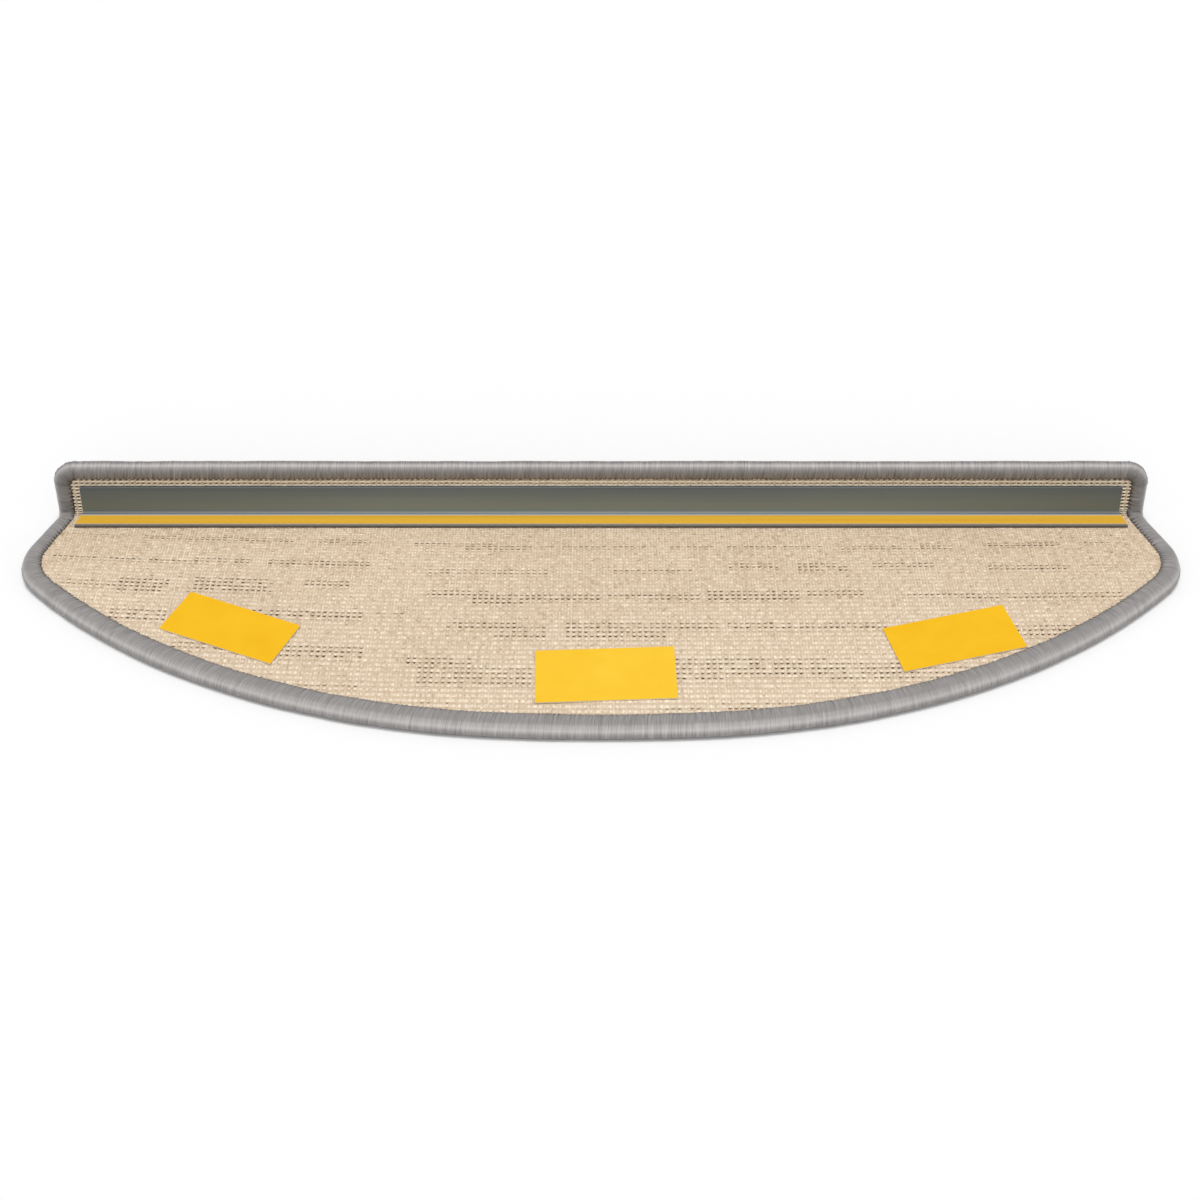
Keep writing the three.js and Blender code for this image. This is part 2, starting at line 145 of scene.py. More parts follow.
@dataclass(frozen=True)
class MatShape:
    """Outline and fold of the mat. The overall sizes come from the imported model."""

    length: float = CAD_BOX[1].x - CAD_BOX[0].x
    depth: float = CAD_BOX[1].y - CAD_BOX[0].y
    height: float = CAD_BOX[1].z - CAD_BOX[0].z
    front_radius: float = 0.8
    front_half_angle: float = math.radians(4)
    corner_radius: float = 0.043
    corner_to_back: float = 0.0524
    side_slant: float = math.radians(17)
    notch_radius: float = 0.006
    flap_corner_radius: float = 0.0135
    thickness: float = 0.007
    fold_inner_radius: float = 0.0025
    binding_front: float = 0.0145
    binding_flap: float = 0.010
    points_per_arc: int = 160

    @property
    def fold_outer(self) -> float:
        """Radius of the fold on the walking face."""
        return self.thickness + self.fold_inner_radius

    @property
    def fold_middle(self) -> float:
        """Radius of the fold halfway through the carpet."""
        return self.fold_inner_radius + self.thickness / 2

    @property
    def fold_start(self) -> float:
        """Where the fold starts on the flat mat."""
        return self.depth / 2 - self.fold_outer

    @property
    def fold_end(self) -> float:
        """Where the fold ends on the flat mat."""
        return self.fold_start + self.fold_middle * QUARTER_TURN

    @property
    def flap_top(self) -> float:
        """Where the flap ends on the flat mat."""
        return self.fold_end + self.height - self.fold_outer

    def right_half(self) -> Grid:
        """Samples the right half of the outline from the middle of the front to the middle of the flap.

        Returns:
            Rows of x, s and the angle that the outline faces, where 0 is -Y and a quarter turn is +X.
        """
        front = np.array([0.0, self.front_radius - self.depth / 2])
        corner = np.array([self.length / 2 - self.corner_radius, self.depth / 2 - self.corner_to_back])
        along = np.array([math.sin(self.front_half_angle), -math.cos(self.front_half_angle)])
        across = corner - front
        spread = self.front_radius - self.corner_radius
        shift = (across @ across - spread**2) / (2 * (across @ along - spread))
        flank = front + shift * along
        flank_end = math.atan2(corner[0] - flank[0], flank[1] - corner[1])
        side = QUARTER_TURN + self.side_slant
        end = corner + self.corner_radius * np.array([math.cos(self.side_slant), math.sin(self.side_slant)])
        inward = (self.fold_start - end[1]) * math.sin(self.side_slant) - self.notch_radius
        half_width = end[0] - self.notch_radius - inward / math.cos(self.side_slant)
        notch = np.array([half_width + self.notch_radius, self.fold_start])
        flap_corner = np.array([half_width, self.flap_top]) - self.flap_corner_radius
        arcs = (
            self._arc(front, self.front_radius, 0, self.front_half_angle),
            self._arc(flank, self.front_radius - shift, self.front_half_angle, flank_end),
            self._arc(corner, self.corner_radius, flank_end, side),
            self._arc(notch, -self.notch_radius, side, QUARTER_TURN),
            self._arc(flap_corner, self.flap_corner_radius, QUARTER_TURN, math.pi),
            np.array([[0.0, self.flap_top, math.pi]]),
        )
        return np.concatenate(arcs)

    def _arc(self, centre: Grid, radius: float, start: float, end: float) -> Grid:
        """Samples an arc of the outline.

        Args:
            centre: X and s of the arc's centre.
            radius: Its radius, negative where the outline is hollow.
            start: The angle that the outline faces where the arc starts.
            end: The angle that it faces where the arc ends.

        Returns:
            Rows of x, s and the angle that the outline faces.
        """
        angle = np.linspace(start, end, self.points_per_arc)
        x = centre[0] + radius * np.sin(angle)
        s = centre[1] - radius * np.cos(angle)
        return np.stack([x, s, angle], axis=1)

    def binding_width(self, s: Grid) -> Grid:
        """Width of the binding at s: it narrows from the front to the fold, and then stays the same."""
        ends = (-self.depth / 2, self.fold_start)
        return np.interp(s, ends, (self.binding_front, self.binding_flap))

    def field_half_width(self, s: Grid, margin: float = 0.0) -> Grid:
        """Half the width of the open backing at s, widened by a margin under the binding.

        Args:
            s: Places from front to back on the flat mat.
            margin: How far beyond the binding's inner edge to go.

        Returns:
            Half the width at each place, or a negative number beyond the front and the flap.
        """
        x, edge, angle = self.right_half().T
        inset = self.binding_width(edge) - margin
        inner_x = x - inset * np.sin(angle)
        inner_s = edge + inset * np.cos(angle)
        order = np.argsort(inner_s)
        return np.interp(s, inner_s[order], inner_x[order], left=-1, right=-1)

    def place(self, x: Grid, s: Grid, h: Grid) -> Grid:
        """Folds the flat mat.

        Args:
            x: Places along the mat.
            s: Places from front to back on the flat mat.
            h: Heights above the walking face.

        Returns:
            The points, with their coordinates in the last axis.
        """
        x, s, h = np.broadcast_arrays(x, s, h)
        beyond = s - self.fold_start
        turn = np.clip(beyond / self.fold_middle, 0, QUARTER_TURN)
        radius = self.fold_outer - h
        y = np.where(beyond <= 0, s, self.fold_start + radius * np.sin(turn))
        risen = np.maximum(s - self.fold_end, 0)
        z = np.where(beyond <= 0, h, self.fold_outer - radius * np.cos(turn) + risen)
        return np.stack([x, y, z], axis=-1)


MAT = MatShape()


class MeshMaker:
    """Collects grids of points as four-sided faces and turns them into one object."""

    def __init__(self) -> None:
        """Starts with no points."""
        self.points: list[Grid] = []
        self.faces: list[Grid] = []
        self.shades: list[Grid] = []
        self.uvs: list[Grid] = []
        self.count = 0

    def add_grid(self, points: Grid, shade: Grid, keep: Grid | None = None, uv: Grid | None = None) -> None:
        """Adds an open sheet.

        Args:
            points: Grid of points, whose faces turn counter-clockwise from rows to columns.
            shade: One number for each point, for the material.
            keep: Which faces to keep, one for each face of the grid. All of them if left out.
            uv: Two texture coordinates for each point.
        """
        index = self._take(points, shade, uv)
        faces = np.stack([index[:-1, :-1], index[:-1, 1:], index[1:, 1:], index[1:, :-1]], axis=-1)
        self.faces.append(faces[keep] if keep is not None else faces.reshape(-1, CORNERS))

    def add_tube(self, points: Grid, shade: Grid) -> None:
        """Adds a closed tube with flat ends.

        Args:
            points: Grid of points, of which each row is a ring of four.
            shade: One number for each point, for the material.
        """
        index = self._take(points, shade, None)
        beside = np.roll(index, -1, axis=1)
        sides = np.stack([index[:-1], beside[:-1], beside[1:], index[1:]], axis=-1)
        ends = np.stack([index[0][::-1], index[-1]])
        self.faces += [sides.reshape(-1, CORNERS), ends]

    def add_ring(self, points: Grid, shade: Grid, uv: Grid) -> None:
        """Adds a grid that closes on itself both ways, like the skin of a hoop.

        Args:
            points: Grid of points.
            shade: One number for each point, for the material.
            uv: Two texture coordinates for each point.
        """
        index = self._take(points, shade, uv)
        beside, ahead = np.roll(index, -1, axis=1), np.roll(index, -1, axis=0)
        faces = np.stack([index, beside, np.roll(beside, -1, axis=0), ahead], axis=-1)
        self.faces.append(faces.reshape(-1, CORNERS))

    def _take(self, points: Grid, shade: Grid, uv: Grid | None) -> Grid:
        """Stores the points of a grid.

        Args:
            points: Grid of points.
            shade: One number for each point, for the material.
            uv: Two texture coordinates for each point, or nothing for zeros.

        Returns:
            The grid of the points' numbers.
        """
        rows, columns = points.shape[:2]
        index = np.arange(rows * columns).reshape(rows, columns) + self.count
        self.count += rows * columns
        self.points.append(points.reshape(-1, points.shape[-1]))
        self.shades.append(np.broadcast_to(shade, (rows, columns)).reshape(-1))
        self.uvs.append(np.zeros((rows * columns, 2)) if uv is None else uv.reshape(-1, 2))
        return index

    def build(self, name: str) -> bpy.types.Object:
        """Makes the object, shaded smooth.

        Args:
            name: Name of the piece.

        Returns:
            The new object, with its shade as a point attribute and its texture coordinates as a UV map.
        """
        faces = np.concatenate(self.faces)
        used, faces = np.unique(faces, return_inverse=True)
        faces = faces.reshape(-1, CORNERS)
        mesh = bpy.data.meshes.new(name)
        mesh.vertices.add(len(used))
        mesh.vertices.foreach_set("co", np.concatenate(self.points)[used].ravel())
        mesh.loops.add(faces.size)
        mesh.loops.foreach_set("vertex_index", faces.ravel())
        mesh.polygons.add(len(faces))
        mesh.polygons.foreach_set("loop_start", np.arange(len(faces)) * CORNERS)
        mesh.polygons.foreach_set("use_smooth", np.full(len(faces), True))
        mesh.update(calc_edges=True)
        mesh.validate()
        shade = mesh.attributes.new("shade", "FLOAT", "POINT")
        shade.data.foreach_set("value", np.concatenate(self.shades)[used])
        uv = mesh.uv_layers.new(name="surface")
        uv.data.foreach_set("uv", np.concatenate(self.uvs)[used][faces.ravel()].ravel())
        piece = bpy.data.objects.new(name, mesh)
        bpy.context.collection.objects.link(piece)
        return piece


class Value:
    """A number that varies over a surface: a node's output that takes part in Python arithmetic."""

    def __init__(self, tree: bpy.types.NodeTree, socket: bpy.types.NodeSocket) -> None:
        """Wraps an output socket of a node tree."""
        self.tree = tree
        self.socket = socket

    def _math(self, operation: str, first: "Value | float", second: "Value | float") -> "Value":
        """Adds a Math node.

        Args:
            operation: The node's operation.
            first: Its first input.
            second: Its second input.

        Returns:
            The node's output.
        """
        node = self.tree.nodes.new("ShaderNodeMath")
        node.operation = operation
        for socket, item in zip(node.inputs, (first, second)):
            feed(self.tree, socket, item)
        return Value(self.tree, node.outputs[0])

    def __add__(self, other: "Value | float") -> "Value":
        """Adds."""
        return self._math("ADD", self, other)

    def __sub__(self, other: "Value | float") -> "Value":
        """Subtracts."""
        return self._math("SUBTRACT", self, other)

    def __rsub__(self, other: "Value | float") -> "Value":
        """Subtracts from a plain number."""
        return self._math("SUBTRACT", other, self)

    def __mul__(self, other: "Value | float") -> "Value":
        """Multiplies."""
        return self._math("MULTIPLY", self, other)

    def __truediv__(self, other: "Value | float") -> "Value":
        """Divides."""
        return self._math("DIVIDE", self, other)

    __radd__ = __add__
    __rmul__ = __mul__

    def wave(self, pitch: float) -> "Value":
        """Swings from 1 at each multiple of a pitch to 0 halfway between."""
        return 1.0 - self._math("PINGPONG", self, pitch / 2) * (2 / pitch)

    def swing(self, share: float) -> "Value":
        """Turns a pattern from 0 to 1 into one around 0 that is as wide as a share."""
        return (self - MIDDLE) * share

    def clamped(self) -> "Value":
        """Keeps the value from 0 to 1."""
        return self._math("MAXIMUM", self._math("MINIMUM", self, 1.0), 0.0)


def feed(tree: bpy.types.NodeTree, socket: bpy.types.NodeSocket, item: object) -> None:
    """Gives an input socket its value or its link.

    Args:
        tree: The node tree that holds the socket.
        socket: The input socket.
        item: A Value or an output socket to link, or a plain value to set.
    """
    if isinstance(item, Value):
        item = item.socket
    if isinstance(item, bpy.types.NodeSocket):
        tree.links.new(item, socket)
    elif socket.type == "RGBA":
        socket.default_value = (*item, 1.0)
    else:
        socket.default_value = item


class Recipe:
    """A material while its nodes are put together."""

    def __init__(self, name: str) -> None:
        """Starts a material with a plain Principled surface.

        Args:
            name: Name of the material.
        """
        self.material = bpy.data.materials.new(name)
        self.material.use_nodes = True
        self.tree = self.material.node_tree
        self.surface = self.tree.nodes["Principled BSDF"]

    def node(self, kind: str, settings: dict | None = None, sockets: dict | None = None) -> bpy.types.Node:
        """Adds a node.

        Args:
            kind: The node's type.
            settings: Its own settings.
            sockets: Values or links for its inputs, by name or number.

        Returns:
            The new node.
        """
        made = self.tree.nodes.new(kind)
        for name, value in (settings or {}).items():
            setattr(made, name, value)
        for name, item in (sockets or {}).items():
            feed(self.tree, made.inputs[name], item)
        return made

    def coordinates(self, source: str) -> bpy.types.NodeSocket:
        """Coordinates of a source, such as Object or UV."""
        return self.node("ShaderNodeTexCoord").outputs[source]

    def grain(self, scale: float, detail: float = 2.0) -> Value:
        """Noise from 0 to 1 on Object coordinates, the same in all directions."""
        return self._noise(self.coordinates("Object"), scale, detail)

    def streaks(self, source: str, scale: Triple, detail: float = 2.0) -> Value:
        """Noise from 0 to 1 on stretched coordinates.

        Args:
            source: Object or UV.
            scale: How finely the noise changes along each axis.
            detail: How many finer octaves it has.

        Returns:
            The pattern.
        """
        mapping = self.node("ShaderNodeMapping", None, {"Vector": self.coordinates(source), "Scale": scale})
        return self._noise(mapping.outputs["Vector"], 1.0, detail)

    def _noise(self, vector: bpy.types.NodeSocket, scale: float, detail: float) -> Value:
        """Adds a noise node.

        Args:
            vector: The coordinates.
            scale: How finely the noise changes.
            detail: How many finer octaves it has.

        Returns:
            Its pattern from 0 to 1.
        """
        sockets = {"Vector": vector, "Scale": scale, "Detail": detail}
        made = self.node("ShaderNodeTexNoise", None, sockets)
        return Value(self.tree, made.outputs["Fac"])

    def attribute(self, name: str) -> Value:
        """A number that the mesh holds for each point."""
        made = self.node("ShaderNodeAttribute", {"attribute_name": name})
        return Value(self.tree, made.outputs["Fac"])

    def axis(self, name: str) -> Value:
        """One of the Object coordinates: X, Y or Z."""
        made = self.node("ShaderNodeSeparateXYZ", None, {"Vector": self.coordinates("Object")})
        return Value(self.tree, made.outputs[name])

    def ramp(self, value: Value, start: float, end: float) -> Value:
        """Rises from 0 to 1 as a value goes from start to end, and stays there."""
        return ((value - start) / (end - start)).clamped()

    def mix(self, share: Value, first: object, second: object) -> bpy.types.NodeSocket:
        """Mixes two colours by a share from 0 to 1."""
        settings = {"data_type": "RGBA", "clamp_factor": True}
        sockets = {MIX_SHARE: share, MIX_FIRST: first, MIX_SECOND: second}
        return self.node("ShaderNodeMix", settings, sockets).outputs[MIX_RESULT]

    def bump(self, height: Value, distance: float) -> None:
        """Roughens the surface by a height that is scaled to a distance."""
        made = self.node("ShaderNodeBump", None, {"Height": height, "Distance": distance, "Strength": 1.0})
        self.finish({"Normal": made.outputs["Normal"]})

    def finish(self, sockets: dict) -> bpy.types.Material:
        """Feeds inputs of the surface.

        Args:
            sockets: Values or links for the inputs, by name.

        Returns:
            The material.
        """
        for name, item in sockets.items():
            feed(self.tree, self.surface.inputs[name], item)
        return self.material


@dataclass(frozen=True)
class YarnFinish:
    """Spun or flat yarn with a fuzzy surface, darker where the shade of the mesh is low."""

    name: str
    dark: Colour
    light: Colour
    fuzz: float = 2600.0
    fuzz_detail: float = 3.0
    fuzz_share: float = 0.5
    fuzz_height: float = 0.00012
    slubs: Triple = (620.0, 400.0, 620.0)
    slub_detail: float = 1.0
    slub_share: float = 1.0
    thread_pitch: float = 0.00161
    thread_share: float = 0.34
    patches: float = 9.0
    patch_share: float = 0.35
    roughness: float = 0.95
    sheen: float = 0.1

    def make(self) -> bpy.types.Material:
        """Makes the material."""
        recipe = Recipe(self.name)
        fuzz = recipe.grain(self.fuzz, self.fuzz_detail)
        slubs = recipe.streaks("Object", self.slubs, self.slub_detail)
        patches = recipe.grain(self.patches)
        threads = recipe.axis("X").wave(self.thread_pitch)
        share = recipe.attribute("shade") + fuzz.swing(self.fuzz_share) + slubs.swing(self.slub_share)
        share = share + patches.swing(self.patch_share) + threads.swing(self.thread_share)
        recipe.bump(fuzz, self.fuzz_height)
        return recipe.finish({
            "Base Color": recipe.mix(share, self.dark, self.light),
            "Roughness": self.roughness,
            "Sheen Weight": self.sheen,
        })


@dataclass(frozen=True)
class FilmFinish:
    """Latex between the yarns, with a painted shadow, dark brown, deep in the open cells."""

    name: str = "latex_film"
    # Painted shadow, dark brown, where the pits are deepest.
    shade: Colour = srgb(54, 42, 31)
    dull: Colour = srgb(200, 176, 146)
    bright: Colour = srgb(226, 205, 178)
    pit_shadow_from: float = 0.34
    pit_shadow_to: float = 0.62
    grain: float = 900.0
    grain_detail: float = 3.0
    grain_height: float = 0.0002
    roughness: float = 0.9

    def make(self) -> bpy.types.Material:
        """Makes the material."""
        recipe = Recipe(self.name)
        grain = recipe.grain(self.grain, self.grain_detail)
        tone = recipe.mix(grain, self.dull, self.bright)
        # Painted shadow: the deepest parts of the pits take the shadow colour.
        opened = recipe.ramp(recipe.attribute("shade"), self.pit_shadow_from, self.pit_shadow_to)
        recipe.bump(grain, self.grain_height)
        return recipe.finish({
            "Base Color": recipe.mix(opened, tone, self.shade),
            "Roughness": self.roughness,
        })


@dataclass(frozen=True)
class BindingFinish:
    """Satin overlock yarn, whose filaments run across the edge."""

    name: str = "overlock_yarn"
    dark: Colour = srgb(76, 73, 72)
    light: Colour = srgb(184, 180, 178)
    filaments: Triple = (2400.0, 110.0, 1.0)
    filament_detail: float = 3.0
    filament_share: float = 1.1
    filament_height: float = 0.00025
    waves: Triple = (60.0, 20.0, 1.0)
    wave_share: float = 0.15
    roughness: float = 0.4
    specular: float = 0.5

    def make(self) -> bpy.types.Material:
        """Makes the material."""
        recipe = Recipe(self.name)
        filaments = recipe.streaks("UV", self.filaments, self.filament_detail)
        waves = recipe.streaks("UV", self.waves)
        share = recipe.attribute("shade") + filaments.swing(self.filament_share)
        share = share + waves.swing(self.wave_share)
        recipe.bump(filaments, self.filament_height)
        return recipe.finish({
            "Base Color": recipe.mix(share, self.dark, self.light),
            "Roughness": self.roughness,
            "Specular IOR Level": self.specular,
        })


@dataclass(frozen=True)
class PlasticFinish:
    """Satin extruded plastic.

    The upright leg carries a painted reflection of the backing, paler towards the fold, painted shade in
    the inner corner and a painted shadow deepening towards its ends. The flat leg has a pale soft line
    along the inner corner and a painted shadow at its lip.
    """

    name: str = "satin_plastic"
    # The plastic's own colour, which also serves for the painted shade in the inner corner, and the paler
    # colour of its painted reflection of the backing.
    dark: Colour = srgb(82, 90, 92)
    light: Colour = srgb(126, 134, 126)
    shadow: Colour = srgb(52, 50, 42)
    shadow_share: float = 0.4
    shadow_from: float = 0.13
    shadow_to: float = 0.31
    hinge: Colour = srgb(184, 190, 194)
    hinge_setback: float = 0.0002
    hinge_width: float = 0.0030
    # Painted shadow on the lip.
    lip_painted_shadow: Colour = srgb(86, 80, 73)
    soft: float = 0.0002
    lines: Triple = (6.0, 2400.0, 2400.0)
    line_share: float = 0.3
    line_height: float = 0.00003
    clouds: Triple = (4.0, 60.0, 60.0)
    cloud_share: float = 0.5
    roughness: float = 0.3
    line_roughness: float = 0.12

    def make(self, corner: Pair, radius: float, rise: float) -> bpy.types.Material:
        """Makes the material.

        Args:
            corner: Y and Z of the inner corner.
            radius: Radius of the inner corner.
            rise: Height over which the painted reflection fades.

        Returns:
            The material.
        """
        recipe = Recipe(self.name)
        lines = recipe.streaks("Object", self.lines)
        upright = self._upright(recipe, lines, corner[1], radius, rise)
        end = corner[0] - radius - self.hinge_setback
        start = end - self.hinge_width
        y = recipe.axis("Y")
        # The flat leg: the pale line along the corner, then painted shadow on the lip.
        flat = recipe.mix(recipe.ramp(y, start + self.soft, start), self.hinge, self.lip_painted_shadow)
        recipe.bump(lines, self.line_height)
        return recipe.finish({
            "Base Color": recipe.mix(recipe.ramp(y, end, end - self.soft), upright, flat),
            "Roughness": lines * self.line_roughness + self.roughness,
        })

    def _upright(
        self, recipe: Recipe, lines: Value, corner: float, radius: float, rise: float
    ) -> bpy.types.NodeSocket:
        """Colours the leg on the flap.

        Args:
            recipe: The material.
            lines: Its fine lines along X.
            corner: Z of the inner corner.
            radius: Radius of the inner corner.
            rise: Height over which the painted reflection fades.

        Returns:
            The colour.
        """
        z = recipe.axis("Z")
        # Painted shade in the inner corner: the fillet darkens towards the flat leg.
        above = recipe.ramp(z, corner - radius / 2, corner + radius)
        # Painted reflection of the backing: the leg turns paler towards the fold.
        painted_reflection = recipe.ramp(z, corner + rise, corner) * above
        clouds = recipe.streaks("Object", self.clouds)
        share = painted_reflection + clouds.swing(self.cloud_share) + lines.swing(self.line_share)
        x = recipe.axis("X")
        # Painted shadow towards both ends of the profile.
        ends = recipe.ramp(x * x, self.shadow_from**2, self.shadow_to**2) * self.shadow_share
        return recipe.mix(ends, recipe.mix(share, self.dark, self.light), self.shadow)


@dataclass(frozen=True)
class LinerFinish:
    """Coated release paper with a faint mottle, streaked along X where it lies on the profile."""

    name: str
    dull: Colour
    bright: Colour
    mottle: Triple = (60.0, 60.0, 60.0)
    mottle_detail: float = 3.0
    contrast: float = 1.6
    grain: float = 1800.0
    grain_share: float = 0.2
    grain_roughness: float = 0.1
    height: float = 0.00008
    roughness: float = 0.6
    specular: float = 0.15

    def make(self) -> bpy.types.Material:
        """Makes the material."""
        recipe = Recipe(self.name)
        mottle = recipe.streaks("Object", self.mottle, self.mottle_detail)
        grain = recipe.grain(self.grain)
        recipe.bump(mottle + grain * self.grain_share, self.height)
        return recipe.finish({
            "Base Color": recipe.mix(mottle.swing(self.contrast) + MIDDLE, self.dull, self.bright),
            "Roughness": grain * self.grain_roughness + self.roughness,
            "Specular IOR Level": self.specular,
        })


@dataclass(frozen=True)
class PlainFinish:
    """A smooth finish that varies a little, for edges that hardly show."""

    name: str
    dark: Colour
    light: Colour
    clouds: float = 350.0
    cloud_detail: float = 3.0
    height: float = 0.0001
    roughness: float = 0.8

    def make(self) -> bpy.types.Material:
        """Makes the material."""
        recipe = Recipe(self.name)
        clouds = recipe.grain(self.clouds, self.cloud_detail)
        recipe.bump(clouds, self.height)
        return recipe.finish({
            "Base Color": recipe.mix(clouds, self.dark, self.light),
            "Roughness": self.roughness,
        })


@dataclass(frozen=True)
class OpenStretch:
    """A stretch of open cells: from left to right, in so many rows from its back row forwards."""

    left: float
    right: float
    back: float
    rows: int = 1
    depth: float = 1.0


OPEN_STRETCHES = (
    OpenStretch(-0.308, -0.270, 0.068, 1, 0.70),
    OpenStretch(-0.262, -0.175, 0.068, 2, 0.75),
    OpenStretch(-0.160, -0.132, 0.068, 2, 0.75),
    OpenStretch(-0.105, -0.062, 0.065, 1, 0.95),
    OpenStretch(-0.076, -0.040, 0.063, 2, 0.80),
    OpenStretch(-0.035, 0.025, 0.063, 1, 0.75),
    OpenStretch(0.038, 0.065, 0.063, 1, 1.00),
    OpenStretch(0.070, 0.125, 0.064, 1, 0.90),
    OpenStretch(0.135, 0.200, 0.064, 2, 0.75),
    OpenStretch(0.218, 0.262, 0.065, 2, 0.90),
    OpenStretch(0.270, 0.290, 0.065, 1, 0.65),
    OpenStretch(-0.310, -0.225, 0.043, 1, 1.00),
    OpenStretch(-0.228, -0.196, 0.045, 2, 0.85),
    OpenStretch(-0.188, -0.128, 0.044, 2, 0.90),
    OpenStretch(-0.095, -0.030, 0.040, 2, 0.70),
    OpenStretch(0.005, 0.050, 0.040, 1, 0.90),
    OpenStretch(0.070, 0.100, 0.044, 2, 0.85),
    OpenStretch(0.110, 0.138, 0.044, 3, 0.90),
    OpenStretch(0.152, 0.188, 0.044, 2, 0.85),
    OpenStretch(0.215, 0.262, 0.042, 2, 0.80),
    OpenStretch(0.270, 0.292, 0.042, 1, 0.65),
    OpenStretch(-0.300, -0.262, 0.019, 2, 0.80),
    OpenStretch(-0.268, -0.238, 0.021, 4, 1.00),
    OpenStretch(-0.224, -0.180, 0.024, 4, 0.95),
    OpenStretch(-0.164, -0.138, 0.024, 2, 0.85),
    OpenStretch(-0.096, -0.062, 0.018, 2, 0.90),
    OpenStretch(-0.071, -0.041, 0.016, 3, 1.00),
    OpenStretch(-0.041, 0.000, 0.015, 2, 0.95),
    OpenStretch(0.004, 0.036, 0.013, 1, 0.95),
    OpenStretch(0.026, 0.056, 0.016, 2, 0.90),
    OpenStretch(0.058, 0.108, 0.018, 3, 1.00),
    OpenStretch(0.112, 0.146, 0.018, 2, 0.90),
    OpenStretch(0.165, 0.206, 0.016, 1, 1.00),
    OpenStretch(0.200, 0.288, 0.013, 2, 0.80),
    OpenStretch(-0.268, -0.236, -0.007, 3, 0.90),
    OpenStretch(-0.190, -0.130, -0.003, 2, 1.00),
    OpenStretch(-0.122, -0.106, -0.006, 1, 0.80),
    OpenStretch(-0.083, -0.044, -0.011, 2, 0.95),
    OpenStretch(-0.058, -0.028, -0.015, 3, 0.85),
    OpenStretch(-0.018, 0.036, -0.014, 4, 0.90),
    OpenStretch(0.034, 0.066, -0.012, 2, 0.90),
    OpenStretch(0.068, 0.156, -0.011, 2, 0.90),
    OpenStretch(0.220, 0.262, -0.016, 3, 0.90),
    OpenStretch(-0.228, -0.198, -0.036, 2, 0.80),
    OpenStretch(-0.172, -0.126, -0.036, 3, 0.95),
    OpenStretch(-0.104, -0.068, -0.043, 2, 0.95),
    OpenStretch(-0.098, -0.034, -0.052, 4, 0.85),
    OpenStretch(0.038, 0.066, -0.043, 5, 0.90),
    OpenStretch(0.066, 0.118, -0.046, 4, 0.95),
    OpenStretch(0.120, 0.158, -0.048, 4, 0.90),
    OpenStretch(0.156, 0.206, -0.052, 3, 0.75),
    OpenStretch(-0.158, -0.126, -0.070, 1, 0.85),
    OpenStretch(-0.092, -0.076, -0.082, 1, 0.85),
    OpenStretch(0.032, 0.052, -0.088, 1, 0.85),
    OpenStretch(0.062, 0.102, -0.081, 2, 0.85),
)


# Section of a flattened yarn: places across it in shares of its width, drops in shares of its height.
YARN_PLACES = np.array([0.5, 0.2, -0.2, -0.5])
YARN_DROPS = np.array([1.0, 0.0, 0.0, 1.0])


